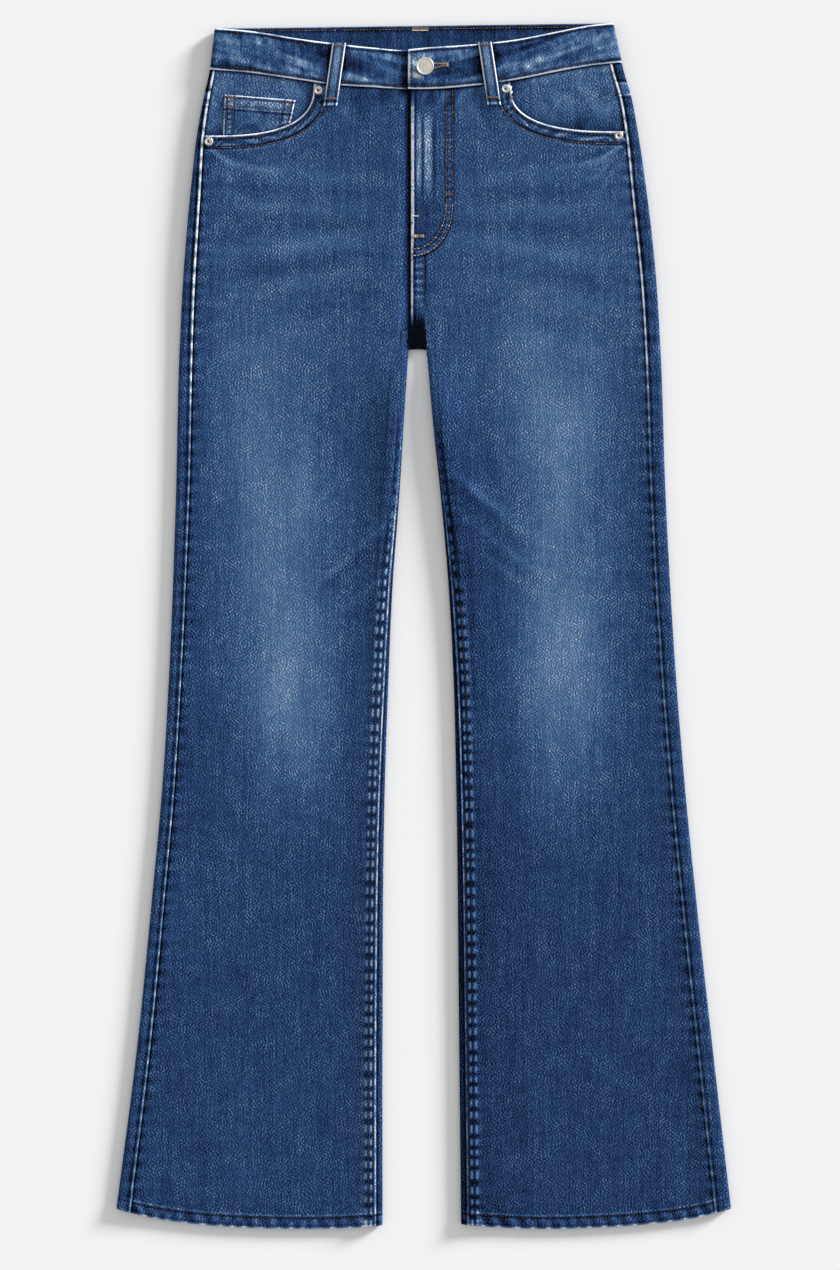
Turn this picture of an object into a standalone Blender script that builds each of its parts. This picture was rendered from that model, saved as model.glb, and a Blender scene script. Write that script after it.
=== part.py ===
# Bootcut jeans, fastened at the waist and laid flat on their back, hems towards -Y.
# X runs from the wearer's right leg to the left, Y from the hems to the waist and Z up, and the
# origin is under the middle of the garment, on the surface that it lies on.
import math
from collections import namedtuple

import bpy
import numpy as np

MM = 0.001

# Driving dimensions, in millimetres. "down" is the distance below the highest edge of the waist.
LENGTH = 1119.7
GAP = 0.3
DENIM = 1.5
BAND_WALL = 2.8
BAND_HEIGHT = 37.5
BAND_TOP = 11.0
LIFT = DENIM + GAP
LIFT_END = 253.0
FOLD_REACH = 4.2
PUFF_REACH = 42.0

CENTRE_BACK = -4.6
FLY_EDGE = -11.6
FLY_UNDERLAP = 17.0
FLY_TAPER = 13.0
FLY_DIP = DENIM + GAP
CROTCH_FRONT = 283.4
CROTCH_BACK = 303.0
INSEAM_INSET = 6.5
RIDGE_HEIGHT = 0.6
RIDGE_INSETS = (6.8, 15.0)
HEM_DEPTH = 10.5
HEM_RISE = 0.8

TAB_END = -14.4
BAND_UNDER_END = 18.0
BAND_DIP = 3.2

MOUTH_POWER = 2.8
FACING_MARGIN = 13.0
FACING_START = 0.97
COIN_DENIM = 1.2

LOOP_WIDTH = 12.5
LOOP_WALL = 1.5
LOOP_BOW = 1.4

BUTTON_RADIUS = 8.2
BUTTON_RISE = 4.6
RIVET_RADIUS = 4.0
RIVET_RISE = 1.5
POCKET_WALL = 1.5

Table = namedtuple("Table", "columns rows")

# Outer edges of the garment seen from above
OUTLINE = Table(
    ("down", "right", "left"),
    (
        (0.0, -193.4, 176.2),
        (24.2, -196.2, 181.4),
        (44.6, -198.6, 186.0),
        (68.8, -204.1, 193.0),
        (98.6, -209.7, 198.6),
        (154.4, -216.2, 206.9),
        (228.8, -222.7, 215.3),
        (298.5, -226.5, 219.9),
        (442.7, -230.2, 225.1),
        (610.1, -236.7, 234.8),
        (703.1, -242.3, 242.3),
        (814.7, -252.5, 253.4),
        (944.9, -265.5, 267.8),
        (1119.7, -287.8, 287.8),
    ),
)

# Inner edges of the two legs below the crotch
INNER = Table(
    ("down", "right", "left"),
    (
        (283.0, -13.7, 1.6),
        (306.9, -14.4, 3.3),
        (368.3, -18.1, 8.4),
        (442.7, -22.8, 16.3),
        (517.1, -28.4, 22.8),
        (610.1, -32.6, 27.9),
        (703.1, -35.8, 30.2),
        (944.9, -38.1, 33.0),
        (1119.7, -38.1, 34.9),
    ),
)

# Distance from an outer edge in to its side seam
SIDE_INSET = Table(
    ("down", "right", "left"),
    (
        (36.0, 4.6, 11.4),
        (95.0, 6.5, 11.6),
        (160.0, 9.6, 14.0),
        (290.0, 12.0, 14.2),
        (665.0, 11.4, 13.6),
        (1119.7, 13.2, 15.2),
    ),
)

# Height of the upper cloth in the middle of a panel and at its folded edges
HEIGHTS = Table(
    ("down", "middle", "outer_edge", "inner_edge"),
    (
        (36.0, 9.6, 9.7, 9.6),
        (110.0, 8.6, 9.2, 8.6),
        (165.0, 7.8, 8.9, 7.8),
        (240.0, 7.2, 8.4, 7.2),
        (276.0, 6.5, 7.7, 6.5),
        (304.0, 5.7, 7.3, 6.4),
        (338.0, 5.2, 7.1, 9.4),
        (380.0, 4.8, 7.0, 10.6),
        (450.0, 4.7, 7.0, 9.6),
        (560.0, 4.6, 7.0, 7.6),
        (700.0, 4.6, 7.0, 7.0),
        (1119.7, 4.8, 7.0, 7.0),
    ),
)

# Front edges of the waistband
WAIST = Table(
    ("x", "top", "seam"),
    (
        (-198.6, 5.0, 43.6),
        (-158.6, 8.4, 47.0),
        (-118.6, 14.9, 52.8),
        (-85.1, 19.3, 57.6),
        (-49.8, 23.3, 60.0),
        (-17.2, 25.2, 61.7),
        (1.4, 23.6, 61.9),
        (43.2, 20.7, 59.0),
        (89.7, 15.4, 52.5),
        (123.2, 8.8, 45.8),
        (155.8, 2.6, 40.0),
        (186.0, 0.0, 36.8),
    ),
)

# Lower edge of each leg, from its outer corner to its inner corner, as a share of the width
HEM = Table(
    ("share", "right", "left"),
    (
        (0.0, 1100.2, 1100.2),
        (0.15, 1109.8, 1109.8),
        (0.31, 1115.4, 1115.2),
        (0.5, 1118.6, 1118.4),
        (0.7, 1119.7, 1119.7),
        (0.86, 1118.9, 1118.2),
        (1.0, 1116.2, 1115.2),
    ),
)

# Pocket mouth: where it leaves the waist seam, and how far below that it meets the side seam
MOUTH = {
    "right": {"start": -101.8, "depth": 49.6},
    "left": {"start": 80.1, "depth": 47.0},
}

# Soft ridges and troughs pressed into the fronts
FOLDS = Table(
    ("x", "down", "angle", "length", "width", "height"),
    (
        (-118, 158, 8, 96, 11, 0.7),
        (-132, 190, 4, 118, 13, -0.7),
        (-112, 222, -6, 104, 12, 0.8),
        (-126, 262, -12, 120, 15, -0.6),
        (116, 160, -7, 92, 11, 0.7),
        (128, 196, 3, 112, 13, -0.7),
        (104, 236, 8, 108, 13, 0.8),
        (124, 276, 14, 120, 15, -0.5),
        (-58, 492, -40, 84, 13, 0.9),
        (-70, 548, -30, 70, 14, -0.5),
        (58, 450, 39, 104, 13, 0.9),
        (78, 520, 28, 84, 15, -0.5),
        (-168, 640, 18, 90, 17, 0.6),
        (170, 660, -16, 92, 17, 0.6),
    ),
)

# Side-seam places of the cross rows below the yokes, apart from those round the crotch
ROWS_ABOVE = (150.0, 182.0, 214.0, 240.0)
ROWS_BELOW = (322.0, 346.0, 374.0, 404.0, 438.0, 474.0, 512.0, 552.0, 594.0, 638.0,
              684.0, 732.0, 782.0, 834.0, 888.0, 942.0, 996.0, 1042.0, 1080.0)

# Rows round the crotch: place on the side seam, "across" from the centre seam (0) to the leg's
# inner edge (1), how far down the folded edge lies there, and which way that edge faces
CROTCH = Table(
    ("side", "across", "down", "facing"),
    (
        (276.0, 0.0, CROTCH_BACK, 90.0),
        (287.0, 0.45, CROTCH_BACK, 90.0),
        (297.0, 1.0, CROTCH_BACK + 0.6, 45.0),
        (306.0, 1.0, CROTCH_BACK + 7.0, 0.0),
    ),
)
CENTRE_ROWS = Table(("side", "down"), ((254.0, 260.0), (266.0, 279.0)))

# Columns of a front nearest its inner edge: insets from the inseam, and places by the fly
INNER_COLUMNS = (0.0, 1.3, 8.2, 9.7, 24.0)
UNDERLAP_COLUMNS = (-14.7, -20.5, -26.7, -42.0)
MOUTH_COUNT = 8
BOTTOM_COLUMNS = 6
FOLD_COUNT = 7
BAND_FOLD_COUNT = 8

# Yoke seam: where it meets the side seams and the centre back seam
YOKE_SIDE = {"right": 75.0, "left": 66.0}
YOKE_CENTRE = 104.0

COIN_TOP = ((-118.8, 72.2), (-184.3, 67.0))
COIN_BOTTOM = (-123.8, -186.0)

# Front belt loops: top and bottom middle of each, as x and down
FRONT_LOOPS = {"right": ((-78.1, 19.5), (-86.5, 78.1)), "left": ((56.7, 18.6), (65.6, 77.2))}
BACK_LOOPS = {"right": -112.0, "centre": -2.8, "left": 104.0}
BACK_LOOP_LENGTH = 46.0

# Back pocket outline: distance out from the centre back seam, and down
BACK_POCKET = ((44.0, 116.0), (168.0, 106.0), (176.0, 224.0), (116.0, 250.0), (58.0, 232.0))

BUTTON_PLACE = (1.4, 41.2)
RIVETS = {
    "right_waist": ("right", -97.6, 62.9),
    "right_side": ("right", -199.2, 110.4),
    "left_waist": ("left", 76.3, 61.4),
    "left_side": ("left", 181.2, 104.8),
}

DENIM_COLOUR = (0.052, 0.105, 0.225)
DENIM_DARK = (0.024, 0.055, 0.135)
METAL = (0.72, 0.70, 0.66)

OUTWARD = {"right": -1.0, "left": 1.0}


def reading(table, name, where):
    """Smooth curve through one column of a table, read at the places given."""
    rows = np.array(table.rows, dtype=float)
    places = rows[:, 0]
    values = rows[:, table.columns.index(name)]
    slopes = np.gradient(values, places)
    where = np.clip(np.asarray(where, dtype=float), places[0], places[-1])
    index = np.clip(np.searchsorted(places, where, side="right") - 1, 0, len(places) - 2)
    span = places[index + 1] - places[index]
    part = (where - places[index]) / span
    start = values[index] * (1 + 2 * part) * (1 - part) ** 2 + slopes[index] * span * part * (1 - part) ** 2
    end = values[index + 1] * (3 - 2 * part) * part ** 2 + slopes[index + 1] * span * (part - 1) * part ** 2
    return start + end


def ease(value, low, high):
    """Zero below low, one above high and an S curve between."""
    part = np.clip((np.asarray(value, dtype=float) - low) / (high - low), 0.0, 1.0)
    return part * part * (3 - 2 * part)


def folds(x, down):
    """Sum of the pressed folds: a bell across each one, dying away towards its ends."""
    total = np.zeros(np.broadcast(x, down).shape)
    for fold_x, fold_down, angle, length, width, height in FOLDS.rows:
        cosine = math.cos(math.radians(angle))
        sine = math.sin(math.radians(angle))
        along = (x - fold_x) * cosine + (down - fold_down) * sine
        across = (down - fold_down) * cosine - (x - fold_x) * sine
        total = total + height * np.exp(-(across / width) ** 2 - (along / (0.5 * length)) ** 4)
    return total


def underside(down):
    """Height of the back's outer face: pockets and loops hold it up as far as the seat."""
    return LIFT * (1 - ease(down, LIFT_END, LIFT_END + 30.0))


def hem_down(side, x):
    """Lower edge of a leg at a place across it."""
    outer = reading(OUTLINE, side, LENGTH)
    inner = reading(INNER, side, LENGTH)
    return reading(HEM, side, np.clip((x - outer) / (inner - outer), 0.0, 1.0))


def top_height(side, x, down):
    """Outer height of the upper cloth: it stands higher by the folded edges than between them."""
    outward = OUTWARD[side]
    outer_distance = (reading(OUTLINE, side, down) - x) * outward
    inner_distance = np.where(down > INNER.rows[0][0], (x - reading(INNER, side, down)) * outward, 1000.0)
    middle = reading(HEIGHTS, "middle", down)
    outer_puff = 1 - ease(outer_distance, FOLD_REACH, FOLD_REACH + PUFF_REACH)
    inner_puff = 1 - ease(inner_distance, FOLD_REACH, FOLD_REACH + PUFF_REACH)
    height = middle + (reading(HEIGHTS, "outer_edge", down) - middle) * outer_puff
    height = height + (reading(HEIGHTS, "inner_edge", down) - middle) * inner_puff
    clear = ease(outer_distance, 14.0, 34.0) * ease(inner_distance, 14.0, 34.0)
    height = height + folds(x, down) * clear
    near, far = RIDGE_INSETS
    ridge = ease(inner_distance, near, near + 1.0) - ease(inner_distance, far, far + 1.2)
    height = height + RIDGE_HEIGHT * ridge * ease(down, 300.0, 360.0)
    to_hem = hem_down(side, x) - down
    return height + HEM_RISE * (1 - ease(to_hem, HEM_DEPTH, HEM_DEPTH + 1.5))


def side_seam(side, down):
    """Place of the side seam across the garment."""
    return reading(OUTLINE, side, down) - OUTWARD[side] * reading(SIDE_INSET, side, down)


def points(x, down, z):
    """Positions in metres from places across, down and up in millimetres."""
    x, down, z = np.broadcast_arrays(x, down, z)
    return np.stack([x, 0.5 * LENGTH - down, z], axis=-1) * MM


def remove_everything():
    """Empty the scene, so that the part is built alone."""
    for thing in list(bpy.data.objects):
        bpy.data.objects.remove(thing, do_unlink=True)


def make_material(name, colour, roughness, metallic=0.0):
    """One plain Principled material."""
    material = bpy.data.materials.new(name)
    material.use_nodes = True
    shader = material.node_tree.nodes["Principled BSDF"]
    shader.inputs["Base Color"].default_value = (*colour, 1.0)
    shader.inputs["Roughness"].default_value = roughness
    shader.inputs["Metallic"].default_value = metallic
    return material


def make_object(name, mesh, colour, roughness=0.85, metallic=0.0):
    """Put a finished mesh into the garment's collection with a material of its own."""
    thing = bpy.data.objects.new(name, mesh)
    mesh.materials.append(make_material(name, colour, roughness, metallic))
    bpy.data.collections["Jeans"].objects.link(thing)
    return thing


def make_cloth(name, grid, colour, wall=DENIM, keep=None, turned=False):
    """A cloth wall on a grid of outer points, thickened inwards; keep says which quads it has."""
    rows, columns = grid.shape[:2]
    index = np.arange(rows * columns).reshape(rows, columns)
    quads = np.stack([index[:-1, :-1], index[:-1, 1:], index[1:, 1:], index[1:, :-1]], axis=-1)
    if keep is not None:
        quads = quads[keep]
    quads = quads.reshape(-1, 4)
    if turned:
        quads = quads[:, ::-1]
    used, quads = np.unique(quads, return_inverse=True)
    mesh = bpy.data.meshes.new(name)
    mesh.from_pydata(grid.reshape(-1, 3)[used].tolist(), [], quads.reshape(-1, 4).tolist())
    mesh.shade_smooth()
    cloth = make_object(name, mesh, colour)
    solidify = cloth.modifiers.new("Wall", "SOLIDIFY")
    solidify.thickness = wall * MM
    solidify.offset = -1.0
    return cloth


def even_places(curve, count):
    """Places along a dense plan curve at even steps of its length."""
    steps = np.hypot(*np.diff(curve, axis=0).T)
    run = np.concatenate([[0.0], np.cumsum(steps)])
    wanted = np.linspace(0.0, run[-1], count)
    return np.stack([np.interp(wanted, run, curve[:, axis]) for axis in (0, 1)], axis=-1)


def mouth_box(side):
    """Corner of the pocket mouth's quarter superellipse at the side, and its two half-widths."""
    outward = OUTWARD[side]
    start = MOUTH[side]["start"]
    corner_down = float(reading(WAIST, "seam", start))
    end_down = corner_down + MOUTH[side]["depth"]
    corner_x = float(side_seam(side, end_down))
    return corner_x, corner_down, outward * (corner_x - start), MOUTH[side]["depth"]


def mouth_curve(side, count):
    """Pocket mouth from the waist seam to the side seam."""
    corner_x, corner_down, across, depth = mouth_box(side)
    turn = np.linspace(0.0, 0.5 * math.pi, 400)
    x = corner_x - OUTWARD[side] * across * np.cos(turn) ** (2 / MOUTH_POWER)
    down = corner_down + depth * np.sin(turn) ** (2 / MOUTH_POWER)
    return even_places(np.stack([x, down], axis=-1), count)


def mouth_level(side, x, down):
    """One on the pocket mouth, less on the side where the facing shows."""
    corner_x, corner_down, across, depth = mouth_box(side)
    first = np.clip(OUTWARD[side] * (corner_x - x) / across, 0.0, None)
    second = np.clip((down - corner_down) / depth, 0.0, None)
    return (first ** MOUTH_POWER + second ** MOUTH_POWER) ** (1 / MOUTH_POWER)


def front_inner_edge(side, down):
    """Inner edge of a front above the crotch: the left one overlaps, the right one runs under."""
    if side == "left":
        return np.full_like(down, FLY_EDGE)
    return FLY_EDGE + FLY_UNDERLAP - FLY_TAPER * ease(down, 215.0, 282.0)


def front_ends():
    """Inner end of each front row round the crotch, by side: x and down."""
    inner = {side: float(reading(INNER, side, CROTCH_BACK)) for side in OUTWARD}
    return {
        "right": ((-9.0, 279.5), (-14.6, 283.0), (inner["right"] - INSEAM_INSET - 0.5 * GAP, 286.0)),
        "left": ((FLY_EDGE, 281.0), (-1.0, 283.2), (inner["left"] + INSEAM_INSET + 0.5 * GAP, 286.0)),
    }


def make_front(side):
    """Front panel: waist seam and pocket mouth at the top, side seam, hem, inseam and fly edge."""
    outward = OUTWARD[side]
    start = MOUTH[side]["start"]
    top_inner = float(front_inner_edge(side, np.array(60.0)))
    if side == "right":
        waist_x = np.concatenate([[top_inner, *UNDERLAP_COLUMNS], [-62.0, -82.0, start]])
    else:
        waist_x = np.concatenate([top_inner + np.array(INNER_COLUMNS), [36.0, 58.0, start]])
    waist = np.stack([waist_x, reading(WAIST, "seam", waist_x) + 1.6 * GAP], axis=-1)
    top = np.concatenate([waist, mouth_curve(side, MOUTH_COUNT)[1:]])
    top[-1, 0] -= outward * 0.5 * GAP

    def straight_row(inner_x, inner_down, seam_down):
        outer_x = side_seam(side, seam_down) - outward * 0.5 * GAP
        if side == "right" and inner_x > FLY_EDGE - 1.0:
            inner_columns = [inner_x, *UNDERLAP_COLUMNS]
        else:
            inner_columns = [inner_x + outward * inset for inset in INNER_COLUMNS]
        rest = np.linspace(inner_columns[-1], outer_x, len(top) - len(inner_columns) + 1)[1:]
        x = np.concatenate([inner_columns, rest])
        down = inner_down + (seam_down - inner_down) * (x - inner_x) / (outer_x - inner_x)
        return np.stack([x, down], axis=-1)

    rows = [top]
    first = straight_row(float(front_inner_edge(side, np.array(ROWS_ABOVE[0]))), ROWS_ABOVE[0], ROWS_ABOVE[0])
    row = top + (first - top) * 0.5
    row[-1, 0] = side_seam(side, row[-1, 1]) - outward * 0.5 * GAP
    rows.append(row)
    rows.append(first)
    above = list(ROWS_ABOVE[1:]) + [row[0] for row in CENTRE_ROWS.rows]
    for down in above:
        rows.append(straight_row(float(front_inner_edge(side, np.array(down))), down, down))
    for (x, down), row in zip(front_ends()[side], CROTCH.rows):
        rows.append(straight_row(x, down, row[0]))
    last = CROTCH.rows[-1]
    below = [(last[0], last[2])] + [(down, down) for down in ROWS_BELOW]
    for seam_down, inner_down in below:
        x = float(reading(INNER, side, inner_down)) + outward * (INSEAM_INSET + 0.5 * GAP)
        rows.append(straight_row(x, inner_down, seam_down))
    hem = rows[-1].copy()
    outer = side_seam(side, LENGTH - 12.0) - outward * 0.5 * GAP
    inner = reading(INNER, side, LENGTH) + outward * (INSEAM_INSET + 0.5 * GAP)
    hem[:, 0] = inner + (outer - inner) * (hem[:, 0] - hem[0, 0]) / (hem[-1, 0] - hem[0, 0])
    hem[:, 1] = hem_down(side, hem[:, 0])
    for above_hem in (HEM_DEPTH + 1.5, HEM_DEPTH, 0.0):
        rows.append(hem - np.array([0.0, above_hem]))

    plan = np.array(rows)
    x = plan[..., 0]
    down = plan[..., 1]
    height = top_height(side, x, down)
    if side == "right":
        height = height - FLY_DIP * ease(x, FLY_EDGE - 15.0, FLY_EDGE - 3.0) * (1 - ease(down, 283.0, 305.0))
    name = "front_panel_" + side
    return make_cloth(name, points(x, down, height), DENIM_COLOUR, turned=side == "left")


def fold_columns(edge_x, toward, low, high, count):
    """Half-ellipse round a folded edge, from its top to its bottom: x and height."""
    turn = np.linspace(0.5 * math.pi, -0.5 * math.pi, count)
    x = edge_x + toward * FOLD_REACH * (np.cos(turn) - 1)
    return x, 0.5 * (high + low) + 0.5 * (high - low) * np.sin(turn)


def outer_wrap(side, seam_down):
    """Top seam edge and side fold of a back row at each place: x and height, seam first."""
    outward = OUTWARD[side]
    edge = float(reading(OUTLINE, side, seam_down))
    seam = float(side_seam(side, seam_down)) + outward * 0.5 * GAP
    low = float(underside(seam_down))
    high = float(reading(HEIGHTS, "outer_edge", seam_down))
    fold_x, fold_z = fold_columns(edge, outward, low, high, FOLD_COUNT)
    seam_z = float(top_height(side, np.array(seam), np.array(seam_down)))
    return np.concatenate([[seam], fold_x]), np.concatenate([[seam_z], fold_z])


def back_row(side, seam_down, centre, centre_down, top_edge=None, fold=None):
    """One cross row of a back: seam, side fold, underside and, below the crotch, the inner fold."""
    wrap_x, wrap_z = outer_wrap(side, seam_down)
    wrap_down = np.full_like(wrap_x, seam_down)
    share = np.linspace(0.0, 1.0, BOTTOM_COLUMNS)[1:]
    under_x = wrap_x[-1] + (centre - wrap_x[-1]) * share
    under_down = seam_down + (centre_down - seam_down) * share
    under_z = underside(under_down)
    inner = np.zeros((FOLD_COUNT, 3))
    if fold is not None:
        inner[:-1] = fold
        inner[-1] = top_edge
    x = np.concatenate([wrap_x, under_x, inner[:, 0]])
    down = np.concatenate([wrap_down, under_down, inner[:, 1]])
    z = np.concatenate([wrap_z, under_z, inner[:, 2]])
    return np.stack([x, down, z], axis=-1)


def inner_fold(side, edge_x, edge_down, facing):
    """Round fold at the inner edge of a leg, bottom to top, without its lowest point."""
    direction = np.array([-OUTWARD[side] * math.cos(math.radians(facing)), math.sin(math.radians(facing))])
    high = float(reading(HEIGHTS, "inner_edge", edge_down))
    turn = np.linspace(-0.5 * math.pi, 0.5 * math.pi, FOLD_COUNT)
    back = FOLD_REACH * (np.cos(turn) - 1)
    plan = np.array([edge_x, edge_down]) + back[:, None] * direction
    z = 0.5 * high + 0.5 * high * np.sin(turn)
    rows = np.concatenate([plan, z[:, None]], axis=1)
    return rows[0], rows[1:]


def back_plan(side):
    """Rows of a back panel below its yoke, and how many of them lie above the crotch."""
    outward = OUTWARD[side]
    centre = CENTRE_BACK + outward * 0.5 * GAP
    rows = [back_row(side, down, centre, down) for down in ROWS_ABOVE]
    for seam_down, centre_down in CENTRE_ROWS.rows:
        rows.append(back_row(side, seam_down, centre, centre_down))
    open_rows = len(rows)
    inner = float(reading(INNER, side, CROTCH_BACK))
    for seam_down, across, down, facing in CROTCH.rows:
        edge_x = centre + (inner - centre) * across
        low, fold = inner_fold(side, edge_x, down, facing)
        if across < 1.0:
            top_edge = (edge_x, CROTCH_FRONT + 0.15, float(reading(HEIGHTS, "middle", CROTCH_FRONT)) - 0.4)
        elif facing > 0.0:
            x = edge_x + outward * (INSEAM_INSET - 0.5 * GAP)
            top_edge = (x, 286.3, float(top_height(side, np.array(x), np.array(286.3))))
        else:
            x = float(reading(INNER, side, down)) + outward * (INSEAM_INSET - 0.5 * GAP)
            top_edge = (x, down, float(top_height(side, np.array(x), np.array(down))))
        rows.append(back_row(side, seam_down, low[0], low[1], top_edge, fold))
    for down in ROWS_BELOW:
        edge_x = float(reading(INNER, side, down))
        low, fold = inner_fold(side, edge_x, down, 0.0)
        x = edge_x + outward * (INSEAM_INSET - 0.5 * GAP)
        top_edge = (x, down, float(top_height(side, np.array(x), np.array(down))))
        rows.append(back_row(side, down, low[0], low[1], top_edge, fold))
    return rows, open_rows


def make_back(side):
    """Back panel: yoke seam at the top, both folded edges, and the strip that closes the crotch."""
    outward = OUTWARD[side]
    rows, open_rows = back_plan(side)
    used = len(rows[0]) - FOLD_COUNT
    centre = CENTRE_BACK + outward * 0.5 * GAP
    mouth_end = float(mouth_curve(side, 2)[-1, 1])
    seam_places = (YOKE_SIDE[side] + GAP, mouth_end, 0.5 * (mouth_end + ROWS_ABOVE[0]))
    centre_places = np.linspace(YOKE_CENTRE + GAP, ROWS_ABOVE[0], len(seam_places) + 1)[:-1]
    top = [back_row(side, down, centre, centre_down) for down, centre_down in zip(seam_places, centre_places)]
    rows = top + rows
    open_rows += len(top)
    last = rows[-1]
    for above_hem in (HEM_DEPTH + 1.5, HEM_DEPTH, 0.0):
        hem = last.copy()
        outer_edge = reading(OUTLINE, side, LENGTH - 12.0)
        inner_edge = reading(INNER, side, LENGTH)
        old_outer = reading(OUTLINE, side, ROWS_BELOW[-1])
        old_inner = reading(INNER, side, ROWS_BELOW[-1])
        hem[:, 0] = outer_edge + (inner_edge - outer_edge) * (hem[:, 0] - old_outer) / (old_inner - old_outer)
        hem[:, 1] = hem_down(side, hem[:, 0]) - above_hem
        if above_hem <= HEM_DEPTH:
            hem[:, 2] += HEM_RISE * ease(hem[:, 2], 3.0, 7.0)
        rows.append(hem)
    grid = np.array(rows)
    keep = np.ones((len(rows) - 1, grid.shape[1] - 1), dtype=bool)
    keep[:open_rows, used - 1:] = False
    shape = points(grid[..., 0], grid[..., 1], grid[..., 2])
    return make_cloth("back_panel_" + side, shape, DENIM_DARK, keep=keep, turned=side == "left")


def waist_seam_back(x):
    """Lower edge of the waistband on the back."""
    return back_top(x) + BAND_HEIGHT


def back_top(x):
    """Upper edge of the waistband on the back, a straight line between its corners."""
    share = (x - OUTLINE.rows[0][1]) / (OUTLINE.rows[0][2] - OUTLINE.rows[0][1])
    return 5.0 * (1 - np.clip(share, 0.0, 1.0))


def yoke_grid(side):
    """Rows of a yoke from the waist seam to the yoke seam: x, down and height."""
    outward = OUTWARD[side]
    centre = CENTRE_BACK + outward * 0.5 * GAP
    corner = float(reading(OUTLINE, side, 40.0))
    seam_at_side = float(reading(WAIST, "seam", corner)) + GAP
    rows = []
    for part in (0.0, 0.5, 1.0):
        side_down = seam_at_side + (YOKE_SIDE[side] - seam_at_side) * part
        wrap_x, wrap_z = outer_wrap(side, side_down)
        share = np.linspace(0.0, 1.0, BOTTOM_COLUMNS)[1:]
        under_x = wrap_x[-1] + (centre - wrap_x[-1]) * share
        x = np.concatenate([wrap_x, under_x])
        z = np.concatenate([wrap_z, np.full_like(under_x, LIFT)])
        over = np.concatenate([[1.0], np.linspace(1.0, 0.0, FOLD_COUNT), np.zeros_like(under_x)])
        top = over * reading(WAIST, "seam", x) + (1 - over) * waist_seam_back(x) + GAP
        run = np.concatenate([np.zeros_like(wrap_x), share])
        bottom = YOKE_SIDE[side] + (YOKE_CENTRE - YOKE_SIDE[side]) * run
        down = top + (bottom - top) * part
        rows.append(np.stack([x, down, z], axis=-1))
    return np.array(rows)


def make_yoke(side):
    """Back yoke: from the waistband to the yoke seam, round the side to the side seam."""
    grid = yoke_grid(side)
    shape = points(grid[..., 0], grid[..., 1], grid[..., 2])
    return make_cloth("yoke_" + side, shape, DENIM_COLOUR, turned=side == "left")


def facing_height(side, x, down):
    """Pocket facing: tucked under the mouth, nearly level with the front away from it."""
    depth = MOUTH[side]["depth"]
    rise = ease((1 - mouth_level(side, x, down)) * depth, 1.5, 10.0)
    return top_height(side, x, down) - (DENIM + GAP) + 1.0 * rise


def make_facing(side):
    """Pocket facing that shows in the mouth and runs on under the front."""
    outward = OUTWARD[side]
    corner_x, corner_down, across, depth = mouth_box(side)
    wide = across + FACING_MARGIN
    deep = depth + FACING_MARGIN
    along = np.linspace(0.0, 1.0, 10)
    share = FACING_START * (1 - along)
    low_x = corner_x - outward * wide * share
    low_down = corner_down + deep * (1 - share ** MOUTH_POWER) ** (1 / MOUTH_POWER)
    top_corner = float(side_seam(side, float(reading(WAIST, "seam", corner_x))))
    top_x = low_x[0] + (top_corner - low_x[0]) * along
    top_down = reading(WAIST, "seam", top_x) + 1.6 * GAP
    rows = []
    for part in np.linspace(0.0, 1.0, 6):
        x = top_x + (low_x - top_x) * part
        down = top_down + (low_down - top_down) * part
        x[-1] = side_seam(side, down[-1]) - outward * 2.0 * GAP
        rows.append(np.stack([x, down], axis=-1))
    plan = np.array(rows)
    height = facing_height(side, plan[..., 0], plan[..., 1])
    shape = points(plan[..., 0], plan[..., 1], height)
    return make_cloth("pocket_facing_" + side, shape, DENIM_COLOUR, turned=side == "left")


def make_coin_pocket():
    """Coin pocket on the right facing, down to where it goes under the pocket mouth."""
    corner_x, corner_down, across, depth = mouth_box("right")
    share = np.linspace(0.0, 1.0, 7)
    top_x = COIN_TOP[0][0] + (COIN_TOP[1][0] - COIN_TOP[0][0]) * share
    top_down = COIN_TOP[0][1] + (COIN_TOP[1][1] - COIN_TOP[0][1]) * share
    low_x = COIN_BOTTOM[0] + (COIN_BOTTOM[1] - COIN_BOTTOM[0]) * share
    reach = (corner_x - low_x) / across * OUTWARD["right"]
    level = 1 - 0.8 / depth
    low_down = corner_down + depth * (level ** MOUTH_POWER - reach ** MOUTH_POWER) ** (1 / MOUTH_POWER)
    part = np.linspace(0.0, 1.0, 5)[:, None]
    x = top_x + (low_x - top_x) * part
    down = top_down + (low_down - top_down) * part
    height = facing_height("right", x, down) + GAP + COIN_DENIM
    return make_cloth("coin_pocket", points(x, down, height), DENIM_COLOUR, wall=COIN_DENIM)


def waist_edge(x, over, part):
    """Down place on the waistband: over is 1 on the front and 0 on the back, part 0 at its top."""
    top = over * reading(WAIST, "top", x) + (1 - over) * back_top(x)
    seam = over * reading(WAIST, "seam", x) + (1 - over) * waist_seam_back(x)
    return top + (seam - top) * part


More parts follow.
